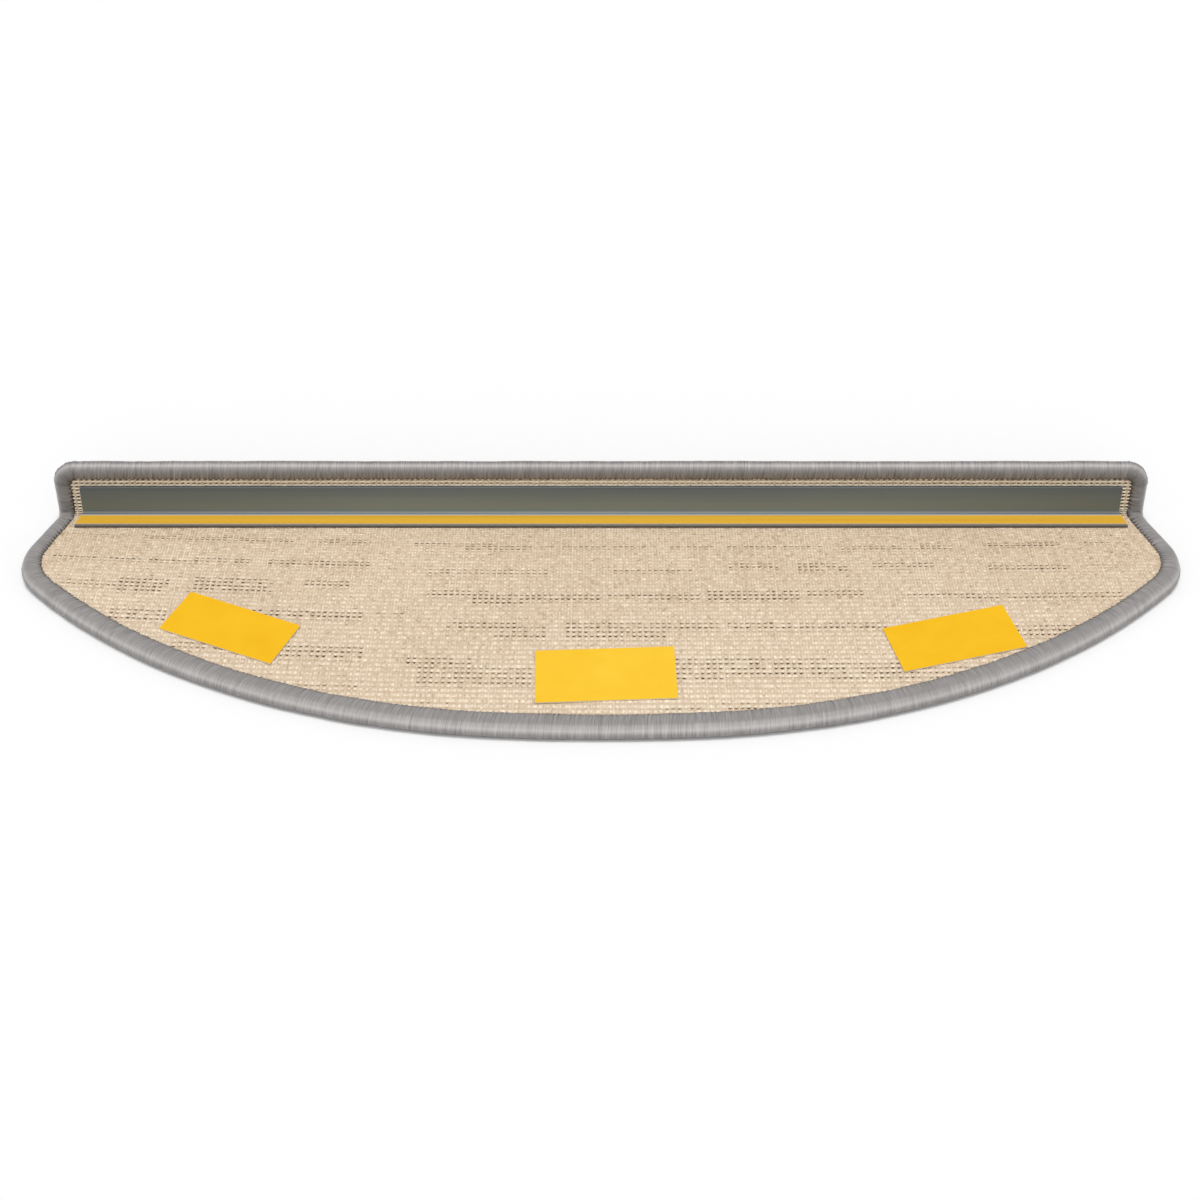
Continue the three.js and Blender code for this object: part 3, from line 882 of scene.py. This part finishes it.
@dataclass
class WovenBacking:
    """The open scrim on the carpet's underside: thick weft yarns, thin warp yarns and latex between."""

    warp_pitch: float = 0.00322
    weft_pitch_flap: float = 0.0023
    weft_pitch_front: float = 0.0045
    weft_pitch_drop: float = 0.003
    weft_pitch_reach: float = 0.065
    crown: float = 0.00692
    weft_crown: float = 0.00675
    weft_dip: float = 0.00012
    weft_height: float = 0.0005
    weft_cover: float = 0.88
    weft_narrowing: float = 0.32
    weft_width_spread: float = 0.03
    weft_crown_spread: float = 0.00006
    weft_sway: float = 0.00008
    stray_openness: float = 0.44
    stray_power: float = 3.0
    least_depth: float = 0.7
    closed_share: float = 0.12
    closed_depth: float = 0.25
    last_row_depth: float = 0.4
    # Tones at the front, at the fold and on the flap: painted shade darkens the weft yarns towards the
    # fold, and painted light makes them paler on the upright flap.
    weft_painted_light_tones: Triple = (0.72, 0.33, 0.95)
    weft_tone_spread: float = 0.13
    warp_width: float = 0.0010
    warp_width_shares: Pair = (0.75, 1.15)
    warp_sway: float = 0.00012
    warp_height: float = 0.0004
    warp_sag: float = 0.0004
    warp_tones: Pair = (0.25, 0.47)
    warp_tone_spread: float = 0.14
    film_height: float = 0.00648
    pit_depth: float = 0.0015
    # Where the points of a pit lie between two weft yarns and how deep they are; the depth also sets the
    # painted shadow in the film.
    pit_places: Triple = (0.0, 0.5, 0.8)
    pit_depths: Triple = (0.0, 0.45, 1.0)
    # On the flap the cells are more open and deeper halfway, so more painted shadow shows between the
    # yarns.
    flap_openness: Pair = (0.6, 1.0)
    flap_pit_depths: Triple = (0.0, 0.95, 1.0)
    left_rise: float = 0.013
    right_rise: float = 0.003
    rise_reach: float = 0.025
    rise_start: float = 0.02
    rise_span: float = 0.28
    tuck: float = 0.0038
    least_stations: int = 4
    weft_finish: YarnFinish = YarnFinish("weft_yarn", srgb(186, 162, 131), srgb(253, 236, 214))
    warp_finish: YarnFinish = YarnFinish("warp_yarn", srgb(192, 168, 138), srgb(254, 238, 216), fuzz=1800.0)
    # Paler copy of the weft yarn: painted light on the upright flap.
    flap_painted_light_finish: YarnFinish = YarnFinish("flap_yarn_painted_light", srgb(224, 200, 166), srgb(255, 246, 224))
    seed: int = 7
    columns: Grid = field(init=False)
    rows: Grid = field(init=False)
    openness: Grid = field(init=False)

    def __post_init__(self) -> None:
        """Works out the places of the yarns and how open each cell is."""
        half = math.ceil(MAT.length / 2 / self.warp_pitch)
        self.columns = np.arange(-half, half + 1) * self.warp_pitch
        rows = [-MAT.depth / 2 - self.left_rise]
        while rows[-1] < MAT.flap_top:
            rows.append(rows[-1] + self.weft_pitch(rows[-1]))
        self.rows = np.array(rows)
        self.openness = self._openness()

    def weft_pitch(self, s: float) -> float:
        """Gives the distance from one weft yarn to the next.

        Args:
            s: Place of the weft yarn.

        Returns:
            The distance, which grows towards the front.
        """
        if s > MAT.fold_start:
            return self.weft_pitch_flap
        nearness = math.exp((s - MAT.fold_start) / self.weft_pitch_reach)
        return max(self.weft_pitch_front - self.weft_pitch_drop * nearness, self.weft_pitch_flap)

    def bowed(self, x: Grid, s: Grid) -> Grid:
        """Bends weft yarns, which rise towards both sides of the tread.

        Args:
            x: Places along the mat.
            s: Where the yarns pass its middle.

        Returns:
            Where they pass at x.
        """
        reach = 1 - np.exp(-np.maximum(MAT.fold_start - s, 0) / self.rise_reach)
        rise = np.where(x < 0, self.left_rise, self.right_rise)
        share = np.maximum((np.abs(x) - self.rise_start) / self.rise_span, 0) ** 2
        return s + rise * share * reach

    def _openness(self) -> Grid:
        """Draws how open each cell is.

        Returns:
            The openness from 0 to 1, by row and column.
        """
        rng = np.random.default_rng(self.seed)
        x = self.columns[:-1] + self.warp_pitch / 2
        opened = rng.uniform(0, 1, (len(self.rows) - 1, len(x))) ** self.stray_power
        opened *= self.stray_openness
        for stretch in OPEN_STRETCHES:
            back = int(np.argmin(np.abs(self.rows - stretch.back)))
            inside = (x > stretch.left) & (x < stretch.right)
            for step in range(stretch.rows + 1):
                faded = self.last_row_depth if step == stretch.rows else 1.0
                depth = stretch.depth * faded * rng.uniform(self.least_depth, 1, inside.sum())
                closed = rng.uniform(0, 1, inside.sum()) < self.closed_share
                row = opened[back - step]
                row[inside] = np.maximum(row[inside], np.where(closed, self.closed_depth, depth))
        on_flap = np.interp(np.abs(x), (0, MAT.length / 2), self.flap_openness)
        opened[self.rows[:-1] > MAT.fold_start] = on_flap
        return opened

    def film(self) -> bpy.types.Object:
        """Models the latex with its pits.

        Returns:
            The film, a sheet just under the yarns.
        """
        x = with_middles(self.columns)
        gaps = np.diff(self.rows)
        s = np.stack([self.rows[:-1] + gaps * share for share in self.pit_places], axis=1).ravel()
        depth = np.zeros((len(s), len(x)))
        on_flap = self.rows[:-1, None] > MAT.fold_start
        for step, shares in enumerate(zip(self.flap_pit_depths, self.pit_depths)):
            depth[step::len(self.pit_depths), 1::2] = self.openness * np.where(on_flap, *shares)
        grid_x, grid_s = np.meshgrid(x, s)
        grid_s = self.bowed(grid_x, grid_s)
        keep = whole_faces(self._inside(grid_x, grid_s))
        height = self.film_height - depth * self.pit_depth
        maker = MeshMaker()
        # The depth is also the film's shade attribute, which its material turns into painted shadow.
        maker.add_grid(MAT.place(grid_x, grid_s, height), depth, keep)
        return maker.build("backing_film")

    def _inside(self, x: Grid, s: Grid) -> Grid:
        """Says which places lie inside the line to which the yarns tuck under the binding."""
        return np.abs(x) < MAT.field_half_width(s, self.tuck)

    def wefts(self, name: str, rows: range) -> bpy.types.Object:
        """Models weft yarns, which run along X.

        Args:
            name: Name of the piece.
            rows: Which of the rows to make.

        Returns:
            The yarns as one piece.
        """
        maker = MeshMaker()
        rng = np.random.default_rng(self.seed + rows.start)
        x = with_middles(self.columns)
        stations = (-MAT.depth / 2, MAT.fold_start, MAT.fold_end)
        for row in rows:
            s = self.bowed(x, np.full(len(x), self.rows[row]))
            inside = self._inside(x, s)
            if inside.sum() < self.least_stations:
                continue
            width = self._weft_width(row, len(x), rng)[inside]
            crossing = (np.arange(len(x)) % 2 == 0)[inside]
            crown = self.weft_crown - np.where(crossing, self.weft_dip, 0)
            crown = crown + rng.normal(0, self.weft_crown_spread, len(crown))
            centre = s[inside] + rng.normal(0, self.weft_sway, len(crown))
            # Painted shade towards the fold and painted light on the flap.
            tone = np.interp(self.rows[row], stations, self.weft_painted_light_tones)
            shade = rng.normal(tone, self.weft_tone_spread, (len(crown), 1))
            maker.add_tube(self._flat_tube(x[inside], centre, crown, width), shade)
        return maker.build(name)

    def _weft_width(self, row: int, count: int, rng: np.random.Generator) -> Grid:
        """Draws the width of a weft yarn along its length: it is narrower beside open cells.

        Args:
            row: Number of the yarn.
            count: Number of its stations.
            rng: Source of random numbers.

        Returns:
            The width at each station.
        """
        pitch = self.weft_pitch(self.rows[row])
        beside = self.openness[min(row, len(self.openness) - 1)]
        open_share = np.interp(np.arange(count), np.arange(len(beside)) * 2 + 1, beside)
        cover = self.weft_cover - self.weft_narrowing * open_share
        return pitch * (cover + rng.normal(0, self.weft_width_spread, count))

    def _flat_tube(self, x: Grid, s: Grid, crown: Grid, width: Grid) -> Grid:
        """Shapes a weft yarn.

        Args:
            x: Places of its stations along the mat.
            s: Where its middle lies at each station.
            crown: Height of its top.
            width: Its width.

        Returns:
            A ring of four points for each station.
        """
        sides = s[:, None] + YARN_PLACES * width[:, None]
        return MAT.place(x[:, None], sides, crown[:, None] - YARN_DROPS * self.weft_height)

    def warps(self) -> bpy.types.Object:
        """Models the warp yarns, which run from front to back over the weft yarns.

        Returns:
            The yarns as one piece.
        """
        maker = MeshMaker()
        rng = np.random.default_rng(self.seed)
        s_flat = with_middles(self.rows)
        over = np.arange(len(s_flat)) % 2 == 0
        for column in self.columns:
            x = np.full(len(s_flat), column) + rng.normal(0, self.warp_sway, len(s_flat))
            s = self.bowed(x, s_flat)
            inside = self._inside(x, s)
            if inside.sum() < self.least_stations:
                continue
            crown = self.crown - np.where(over, 0, self.warp_sag)[inside]
            width = self.warp_width * rng.uniform(*self.warp_width_shares, inside.sum())
            sides = x[inside][:, None] - YARN_PLACES * width[:, None]
            rings = MAT.place(sides, s[inside][:, None], crown[:, None] - YARN_DROPS * self.warp_height)
            shade = rng.uniform(*self.warp_tones) + rng.normal(0, self.warp_tone_spread, (len(rings), 1))
            maker.add_tube(rings, shade)
        return maker.build("warp_yarns")

    def build(self) -> None:
        """Makes the pieces and dresses them."""
        on_tread = int(np.searchsorted(self.rows, MAT.fold_start))
        finishes = {
            self.film(): FilmFinish(),
            self.wefts("weft_yarns_tread", range(on_tread)): self.weft_finish,
            self.wefts("weft_yarns_flap", range(on_tread, len(self.rows))): self.flap_painted_light_finish,
            self.warps(): self.warp_finish,
        }
        for piece, finish in finishes.items():
            dress(piece, finish.make(), "backing", "carpet_tread")


@dataclass
class LoopPile:
    """The carpet's walking face: rows of loops, which also cover the back of the flap."""

    gauge: float = 0.0044
    stitch: float = 0.0042
    relief: float = 0.0016
    # Painted shade, taken off the loops' tone in proportion to their ridge.
    ridge_painted_shade: float = 0.35
    phase_spread: float = 0.6
    roundness: float = 0.6
    bead_share: float = 0.45
    tones: Pair = (0.4, 0.65)
    lift: float = 0.0001
    tuck: float = 0.005
    samples_across: int = 4
    samples_along: int = 3
    finish: YarnFinish = YarnFinish(
        "pile_yarn", srgb(112, 108, 106), srgb(176, 172, 168), fuzz=1500.0, thread_share=0.0
    )
    seed: int = 11

    def build(self) -> None:
        """Models the pile and dresses it."""
        start = -MAT.depth / 2
        across = math.ceil(MAT.length / self.gauge)
        along = math.ceil((MAT.flap_top - start) / self.stitch)
        column = np.arange(across * self.samples_across + 1)
        row = np.arange(along * self.samples_along + 1)
        x = (column / self.samples_across - across / 2) * self.gauge
        s = start + row / self.samples_along * self.stitch
        grid_x, grid_s = np.meshgrid(x, s)
        height, shade = self._loops(column, row)
        points = MAT.place(grid_x, grid_s, height)
        keep = whole_faces(np.abs(grid_x) < MAT.field_half_width(grid_s, self.tuck))
        maker = MeshMaker()
        maker.add_grid(points[:, ::-1], shade[:, ::-1], keep[:, ::-1])
        dress(maker.build("loop_pile"), self.finish.make(), "", "carpet_tread")

    def _loops(self, column: Grid, row: Grid) -> tuple[Grid, Grid]:
        """Shapes and shades the loops.

        Args:
            column: Numbers of the samples across the rows of loops.
            row: Numbers of the samples along them.

        Returns:
            The height of each sample and its tone.
        """
        rng = np.random.default_rng(self.seed)
        across, along = column // self.samples_across, row // self.samples_along
        ridge = np.abs(np.sin(math.pi * column / self.samples_across))[None, :]
        phase = rng.uniform(0, self.phase_spread, across[-1] + 1)[across][None, :]
        bead = np.abs(np.sin(math.pi * (row[:, None] / self.samples_along + phase)))
        loops = ridge**self.roundness * (1 - self.bead_share + self.bead_share * bead)
        tone = rng.uniform(*self.tones, (along[-1] + 1, across[-1] + 1))
        # Painted shade, deepest where the ridge is highest.
        shade = tone[along][:, across] - self.ridge_painted_shade * ridge
        return self.relief * (1 - loops) + self.lift, shade


# Section of the binding, from its top inner border around the edge and back inside: the share of its width
# that a point lies from the outer edge, what is added to that, and the point's height.
BINDING_SECTION = np.array([
    (1.0, 0.0, 0.00695),
    (1.0, -0.0006, 0.0075),
    (1.0, -0.0014, 0.0079),
    (0.75, 0.0, 0.0084),
    (0.6, 0.0, 0.0087),
    (0.45, 0.0, 0.0088),
    (0.3, 0.0, 0.0084),
    (0.18, 0.0, 0.0076),
    (0.08, 0.0, 0.0063),
    (0.0, 0.0, 0.0041),
    (0.04, 0.0, 0.0023),
    (0.14, 0.0, 0.0010),
    (0.3, 0.0, 0.0003),
    (0.6, 0.0, 0.0001),
    (1.0, -0.0008, 0.0001),
    (1.0, 0.0, 0.0006),
    (1.0, -0.0015, 0.0018),
    (0.4, 0.0, 0.0022),
    (0.4, 0.0, 0.0054),
    (1.0, -0.0015, 0.0060),
])
# Points of the section that lie at its inner borders, above and below.
BORDER_POINTS = [0, 1, 14, 15]


@dataclass
class EdgeBinding:
    """Overlock yarn wrapped around the whole edge, strand beside strand."""

    strand_pitch: float = 0.0009
    groove: float = 0.00012
    groove_shares: Pair = (0.4, 1.3)
    corner_groove: float = 0.0003
    corner_bend: float = 60.0
    lump: float = 0.00016
    lump_length: float = 0.02
    ripple_share: float = 0.5
    ripple_length: float = 0.005
    wrinkle: float = 0.00018
    wrinkle_length: float = 0.0022
    border_jitter: float = 0.0004
    slant: float = 0.1
    girth: float = 0.03
    # Tones at the front and on the flap, where painted shade makes the binding darker; a painted highlight
    # runs along the outer bend, with its place and spread in shares of the width.
    front_tone: float = 0.47
    front_painted_highlight: float = 0.48
    flap_painted_shade_tone: float = 0.32
    flap_painted_highlight: float = 0.56
    painted_highlight_place: float = 0.09
    painted_highlight_spread: float = 0.085
    painted_highlight_height: float = 0.005
    tone_spread: float = 0.04
    # Painted shade in the stitch holes, taken off the first points of every third strand.
    hole_painted_shade: Triple = (0.8, 0.7, 0.3)
    strands_per_hole: int = 3
    seed: int = 23
    ripple_seed: int = 24
    jitter_seed: int = 25
    tone_seed: int = 26
    wrinkle_seed: int = 27

    @staticmethod
    def section(width: Grid) -> Grid:
        """Section of the binding: rows of distance from the outer edge and height, around and back.

        Args:
            width: Width of the binding at each station.

        Returns:
            The section at each station, from its top inner border around the edge and back inside.
        """
        share, added, height = BINDING_SECTION.T
        distance = width[:, None] * share + added
        height = np.broadcast_to(height, distance.shape)
        return np.stack([distance, height], axis=-1)

    def build(self) -> None:
        """Models the binding and dresses it."""
        half = MAT.right_half()
        left = half[::-1][1:] * (-1, 1, -1) + (0, 0, 2 * math.pi)
        x, s, angle = np.concatenate([half, left]).T
        run = np.concatenate([[0], np.cumsum(np.hypot(np.diff(x), np.diff(s)))])
        strands = round(run[-1] / self.strand_pitch)
        at = np.arange(2 * strands) / (2 * strands) * run[-1]
        bend = np.abs(np.gradient(np.interp(at, run, angle), at))
        place = np.interp(at, run, s)
        section = self.section(MAT.binding_width(place))
        shade = self._shade(section, place)
        section = self._roughened(section, self._relief(at, bend))
        shifted = (at[:, None] + self.slant * (section[..., 0] - section[:, :1, 0])) % run[-1]
        edge_x, edge_s, facing = (np.interp(shifted, run, values) for values in (x, s, angle))
        distance, height = section[..., 0], section[..., 1]
        flat_x = edge_x - distance * np.sin(facing)
        flat_s = edge_s + distance * np.cos(facing)
        points = MAT.place(flat_x, flat_s, height)
        points[..., 2] = np.maximum(points[..., 2], CAD_BOX[0].z)
        around = np.linspace(0, self.girth, section.shape[1])
        uv = np.stack(np.broadcast_arrays(at[:, None], around), axis=-1)
        maker = MeshMaker()
        maker.add_ring(points[:, ::-1], shade[:, ::-1], uv[:, ::-1])
        dress(maker.build("overlock_binding"), BindingFinish().make(), "binding", "edge_binding")

    def _shade(self, section: Grid, place: Grid) -> Grid:
        """Tone of every point: a painted highlight on the outer bend, painted shade in the stitch holes.

        Args:
            section: The plain section at each station.
            place: Where each station lies between the front and the flap's top.

        Returns:
            The tone of each point of the section, at each station.
        """
        rng = np.random.default_rng(self.tone_seed)
        strand = np.arange(len(section)) // 2
        fold = (MAT.fold_start, MAT.fold_end)
        # Painted shade makes the flap's binding darker than the front's.
        tone = np.interp(place, fold, (self.front_tone, self.flap_painted_shade_tone))
        # Painted highlight along the outer bend, only above a height.
        painted_highlight = np.interp(place, fold, (self.front_painted_highlight, self.flap_painted_highlight))
        share = section[..., 0] / MAT.binding_width(place)[:, None]
        bend = np.exp(-(((share - self.painted_highlight_place) / self.painted_highlight_spread) ** 2))
        upper = section[..., 1] > self.painted_highlight_height
        shade = tone[:, None] + painted_highlight[:, None] * bend * upper
        shade += rng.normal(0, self.tone_spread, len(section))[strand][:, None]
        # Painted shade in the stitch holes at the inner border.
        holes = strand % self.strands_per_hole == 0
        shade[:, :len(self.hole_painted_shade)] -= holes[:, None] * self.hole_painted_shade
        return shade

    def _relief(self, at: Grid, bend: Grid) -> Grid:
        """How far each station stands proud of the plain section.

        Args:
            at: Places along the edge.
            bend: How sharply the edge turns there.

        Returns:
            The height of each station over the plain section.
        """
        rng = np.random.default_rng(self.seed)
        valley = np.arange(len(at)) % 2 == 0
        sharp = np.clip(bend / self.corner_bend, 0, 1) ** 2
        depth = self.groove * rng.uniform(*self.groove_shares, len(at))
        depth += self.corner_groove * sharp * rng.uniform(0, 1, len(at))
        lumps = smooth_noise(at, self.lump_length, self.seed)
        lumps += smooth_noise(at, self.ripple_length, self.ripple_seed) * self.ripple_share
        wrinkles = smooth_noise(at, self.wrinkle_length, self.wrinkle_seed) * sharp
        return lumps * self.lump + wrinkles * self.wrinkle - np.where(valley, depth, 0)

    def _roughened(self, section: Grid, relief: Grid) -> Grid:
        """Moves the section out by the relief, and its borders by a jitter.

        Args:
            section: The plain section at each station.
            relief: How far each station stands proud.

        Returns:
            The moved section at each station.
        """
        ahead, behind = np.roll(section, -1, axis=1), np.roll(section, 1, axis=1)
        run = ahead - behind
        normal = np.stack([run[..., 1], -run[..., 0]], axis=-1)
        normal /= np.linalg.norm(normal, axis=-1, keepdims=True)
        moved = section - normal * relief[:, None, None]
        rng = np.random.default_rng(self.jitter_seed)
        jitter = rng.uniform(-1, 1, len(section)) * self.border_jitter
        valley = np.arange(len(section)) % 2 == 0
        jitter -= np.where(valley, self.border_jitter, 0)
        moved[:, BORDER_POINTS, 0] += jitter[:, None]
        return moved


def dress(piece: bpy.types.Object, material: bpy.types.Material, slot: str, *nodes: str) -> None:
    """Gives a piece its material, lets it ride on the mat and reports it.

    Args:
        piece: The finished piece.
        material: Its material.
        slot: Name of a material slot, or nothing; not used.
        nodes: The CAD nodes that it stands for.
    """
    piece.data.materials.clear()
    piece.data.materials.append(material)
    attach(piece, BODY)
    if nodes:
        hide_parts(*nodes)
    log.info("%s: %d faces", piece.name, len(piece.data.polygons))


def edit(piece: bpy.types.Object) -> None:
    """Opens one piece in edit mode, with nothing of its mesh selected.

    Args:
        piece: The piece.
    """
    bpy.ops.object.select_all(action="DESELECT")
    piece.select_set(True)
    bpy.context.view_layer.objects.active = piece
    bpy.ops.object.mode_set(mode="EDIT")
    bpy.ops.mesh.select_all(action="DESELECT")


def pick(piece: bpy.types.Object, mode: str, test: Callable[[Vector], bool]) -> None:
    """Selects the edges or faces whose middle passes a test, in edit mode.

    Args:
        piece: The piece in edit mode.
        mode: EDGE or FACE.
        test: Says of a middle point whether its edge or face is selected.
    """
    bpy.ops.mesh.select_all(action="DESELECT")
    bpy.ops.mesh.select_mode(type=mode)
    bpy.ops.object.mode_set(mode="OBJECT")
    mesh = piece.data
    if mode == "FACE":
        for face in mesh.polygons:
            face.select = test(face.center)
    else:
        for edge in mesh.edges:
            middle = sum((mesh.vertices[v].co for v in edge.vertices), Vector()) / 2
            edge.select = test(middle)
    bpy.ops.object.mode_set(mode="EDIT")


def settle() -> None:
    """Leaves edit mode and puts the active piece's place, turn and size into its mesh."""
    if bpy.context.mode == "EDIT_MESH":
        bpy.ops.object.mode_set(mode="OBJECT")
    bpy.ops.object.transform_apply(location=True, rotation=True, scale=True)


@dataclass
class AngleProfile:
    """The plastic angle in the fold, one leg on the flap and one on the tread, with flared ends."""

    thickness: float = 0.0015
    inner_radius: float = 0.0015
    outer_radius: float = 0.003
    tip_radius: float = 0.0005
    flare: float = 0.003
    fillet_segments: int = 8
    tip_segments: int = 3
    smooth_angle: float = math.radians(40)

    def build(self) -> None:
        """Models the profile and dresses it."""
        low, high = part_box("angle_profile")
        size = high - low
        length = size.x - 2 * self.flare
        top = low.z + self.thickness
        inner_y = high.y - self.thickness
        bpy.ops.object.select_all(action="DESELECT")
        bpy.ops.mesh.primitive_cube_add(size=1, location=(0, (low.y + high.y) / 2, (low.z + top) / 2))
        piece = bpy.context.active_object
        piece.name = "angle_bar"
        piece.scale = (length, size.y, self.thickness)
        settle()
        edit(piece)
        pick(piece, "FACE", lambda c: abs(c.y - low.y) < CLOSE)
        bpy.ops.transform.resize(value=(size.x / length, 1, 1), center_override=(0, low.y, low.z))
        bpy.ops.mesh.select_all(action="SELECT")
        bpy.ops.mesh.bisect(plane_co=(0, inner_y, 0), plane_no=(0, 1, 0))
        pick(piece, "FACE", lambda c: c.y > inner_y and abs(c.z - top) < CLOSE)
        rise = (0, 0, size.z - self.thickness)
        bpy.ops.mesh.extrude_region_move(TRANSFORM_OT_translate={"value": rise})
        self._round(piece, inner_y, top, self.inner_radius, self.fillet_segments)
        self._round(piece, high.y, low.z, self.outer_radius, self.fillet_segments)
        for y, z in ((low.y, low.z), (low.y, top), (high.y, high.z), (inner_y, high.z)):
            self._round(piece, y, z, self.tip_radius, self.tip_segments)
        settle()
        bpy.ops.object.shade_smooth_by_angle(angle=self.smooth_angle)
        finish = PlasticFinish().make((inner_y, top), self.inner_radius, size.z)
        dress(piece, finish, "profile", "angle_profile")

    def _round(self, piece: bpy.types.Object, y: float, z: float, radius: float, segments: int) -> None:
        """Rounds the long edge at y and z."""
        pick(piece, "EDGE", lambda c: abs(c.x) < CLOSE and abs(c.y - y) < CLOSE and abs(c.z - z) < CLOSE)
        bpy.ops.mesh.bevel(offset=radius, segments=segments, affect="EDGES")


class Liner(Enum):
    """The yellow release liners by the part that they cover."""

    STRIP = "profile_tape_liner"
    LEFT = "pad_liner_left"
    MIDDLE = "pad_liner_middle"
    RIGHT = "pad_liner_right"


@dataclass
class Tapes:
    """The double-sided tapes and the yellow liners on them."""

    names: tuple[str, ...] = ("profile_tape", "pad_tape_left", "pad_tape_middle", "pad_tape_right")
    foam: PlainFinish = PlainFinish("tape_foam", srgb(214, 205, 184), srgb(240, 235, 220))
    side: LinerFinish = LinerFinish("side_pad_liner", srgb(240, 183, 18), srgb(247, 193, 32))
    middle: LinerFinish = LinerFinish("middle_pad_liner", srgb(245, 194, 40), srgb(251, 203, 56))
    strip: LinerFinish = LinerFinish(
        "strip_liner", srgb(214, 160, 44), srgb(236, 188, 66), mottle=(3.0, 700.0, 700.0), roughness=0.45
    )

    def build(self) -> None:
        """Dresses the tapes and the liners."""
        foam, side = self.foam.make(), self.side.make()
        finishes = {
            Liner.STRIP: self.strip.make(),
            Liner.LEFT: side,
            Liner.MIDDLE: self.middle.make(),
            Liner.RIGHT: side,
        }
        for name in self.names:
            self._dress_node(name, foam)
        for liner, material in finishes.items():
            self._dress_node(liner.value, material)

    @staticmethod
    def _dress_node(name: str, material: bpy.types.Material) -> None:
        """Gives a CAD node a material."""
        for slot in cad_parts[name].material_slots:
            slot.material = material
        log.info("%s: dressed", name)


@dataclass(frozen=True)
class Sun:
    """A distant soft lamp, in front of the mat at an elevation over the floor."""

    name: str
    elevation: float
    spread: float
    strength: float

    def add(self) -> None:
        """Adds the lamp."""
        data = bpy.data.lights.new(self.name, "SUN")
        data.angle = self.spread
        data.energy = self.strength
        lamp = bpy.data.objects.new(self.name, data)
        lamp.rotation_euler = (QUARTER_TURN - self.elevation, 0, 0)
        bpy.context.collection.objects.link(lamp)


@dataclass
class Studio:
    """Camera, floor, world and lamps."""

    lens: float = 66.0
    sensor: float = 36.0
    camera_place: Triple = (-0.0006, -0.9732, 0.6973)
    camera_pitch: float = math.radians(35.05)
    floor_size: float = 12.0
    floor_colour: Colour = srgb(249, 249, 249)
    floor_roughness: float = 0.9
    key: Sun = Sun("key", math.radians(82), math.radians(24), 1.6)
    fill: Sun = Sun("fill", math.radians(35), math.radians(50), 0.7)
    sky: float = 0.42

    def add_camera(self) -> None:
        """Puts the camera where the photograph was taken from."""
        data = bpy.data.cameras.new("camera")
        data.lens = self.lens
        data.sensor_width = self.sensor
        camera = bpy.data.objects.new("camera", data)
        camera.location = self.camera_place
        camera.rotation_euler = (QUARTER_TURN - self.camera_pitch, 0, 0)
        bpy.context.collection.objects.link(camera)
        bpy.context.scene.camera = camera

    def add_world(self) -> None:
        """Makes a plain world that the camera and reflections see as white."""
        world = bpy.data.worlds.new("studio")
        world.use_nodes = True
        tree = world.node_tree
        path = tree.nodes.new("ShaderNodeLightPath")
        rays = ("Is Camera Ray", "Is Glossy Ray", "Is Transmission Ray")
        camera, glossy, through = (Value(tree, path.outputs[ray]) for ray in rays)
        seen = (camera + glossy + through).clamped()
        background = tree.nodes["Background"]
        feed(tree, background.inputs["Color"], WHITE)
        feed(tree, background.inputs["Strength"], seen * (1 - self.sky) + self.sky)
        bpy.context.scene.world = world

    def add_floor(self) -> None:
        """Adds the pale floor."""
        bpy.ops.object.select_all(action="DESELECT")
        bpy.ops.mesh.primitive_plane_add(size=self.floor_size, location=(0, 0, CAD_BOX[0].z))
        floor = bpy.context.active_object
        floor.name = "floor"
        paint = {"Base Color": self.floor_colour, "Roughness": self.floor_roughness}
        floor.data.materials.append(Recipe("floor_paint").finish(paint))

    def build(self) -> None:
        """Lights the mat and sets plain colours for the screen."""
        self.add_world()
        self.add_floor()
        self.key.add()
        self.fill.add()
        bpy.context.scene.view_settings.view_transform = "Standard"


def main() -> None:
    """Builds the camera, the mat's pieces and the studio in order."""
    logging.basicConfig(level=logging.INFO, format="%(name)s: %(message)s")
    studio = Studio()
    studio.add_camera()
    WovenBacking().build()
    LoopPile().build()
    EdgeBinding().build()
    AngleProfile().build()
    Tapes().build()
    studio.build()


if __name__ == "__main__":
    main()
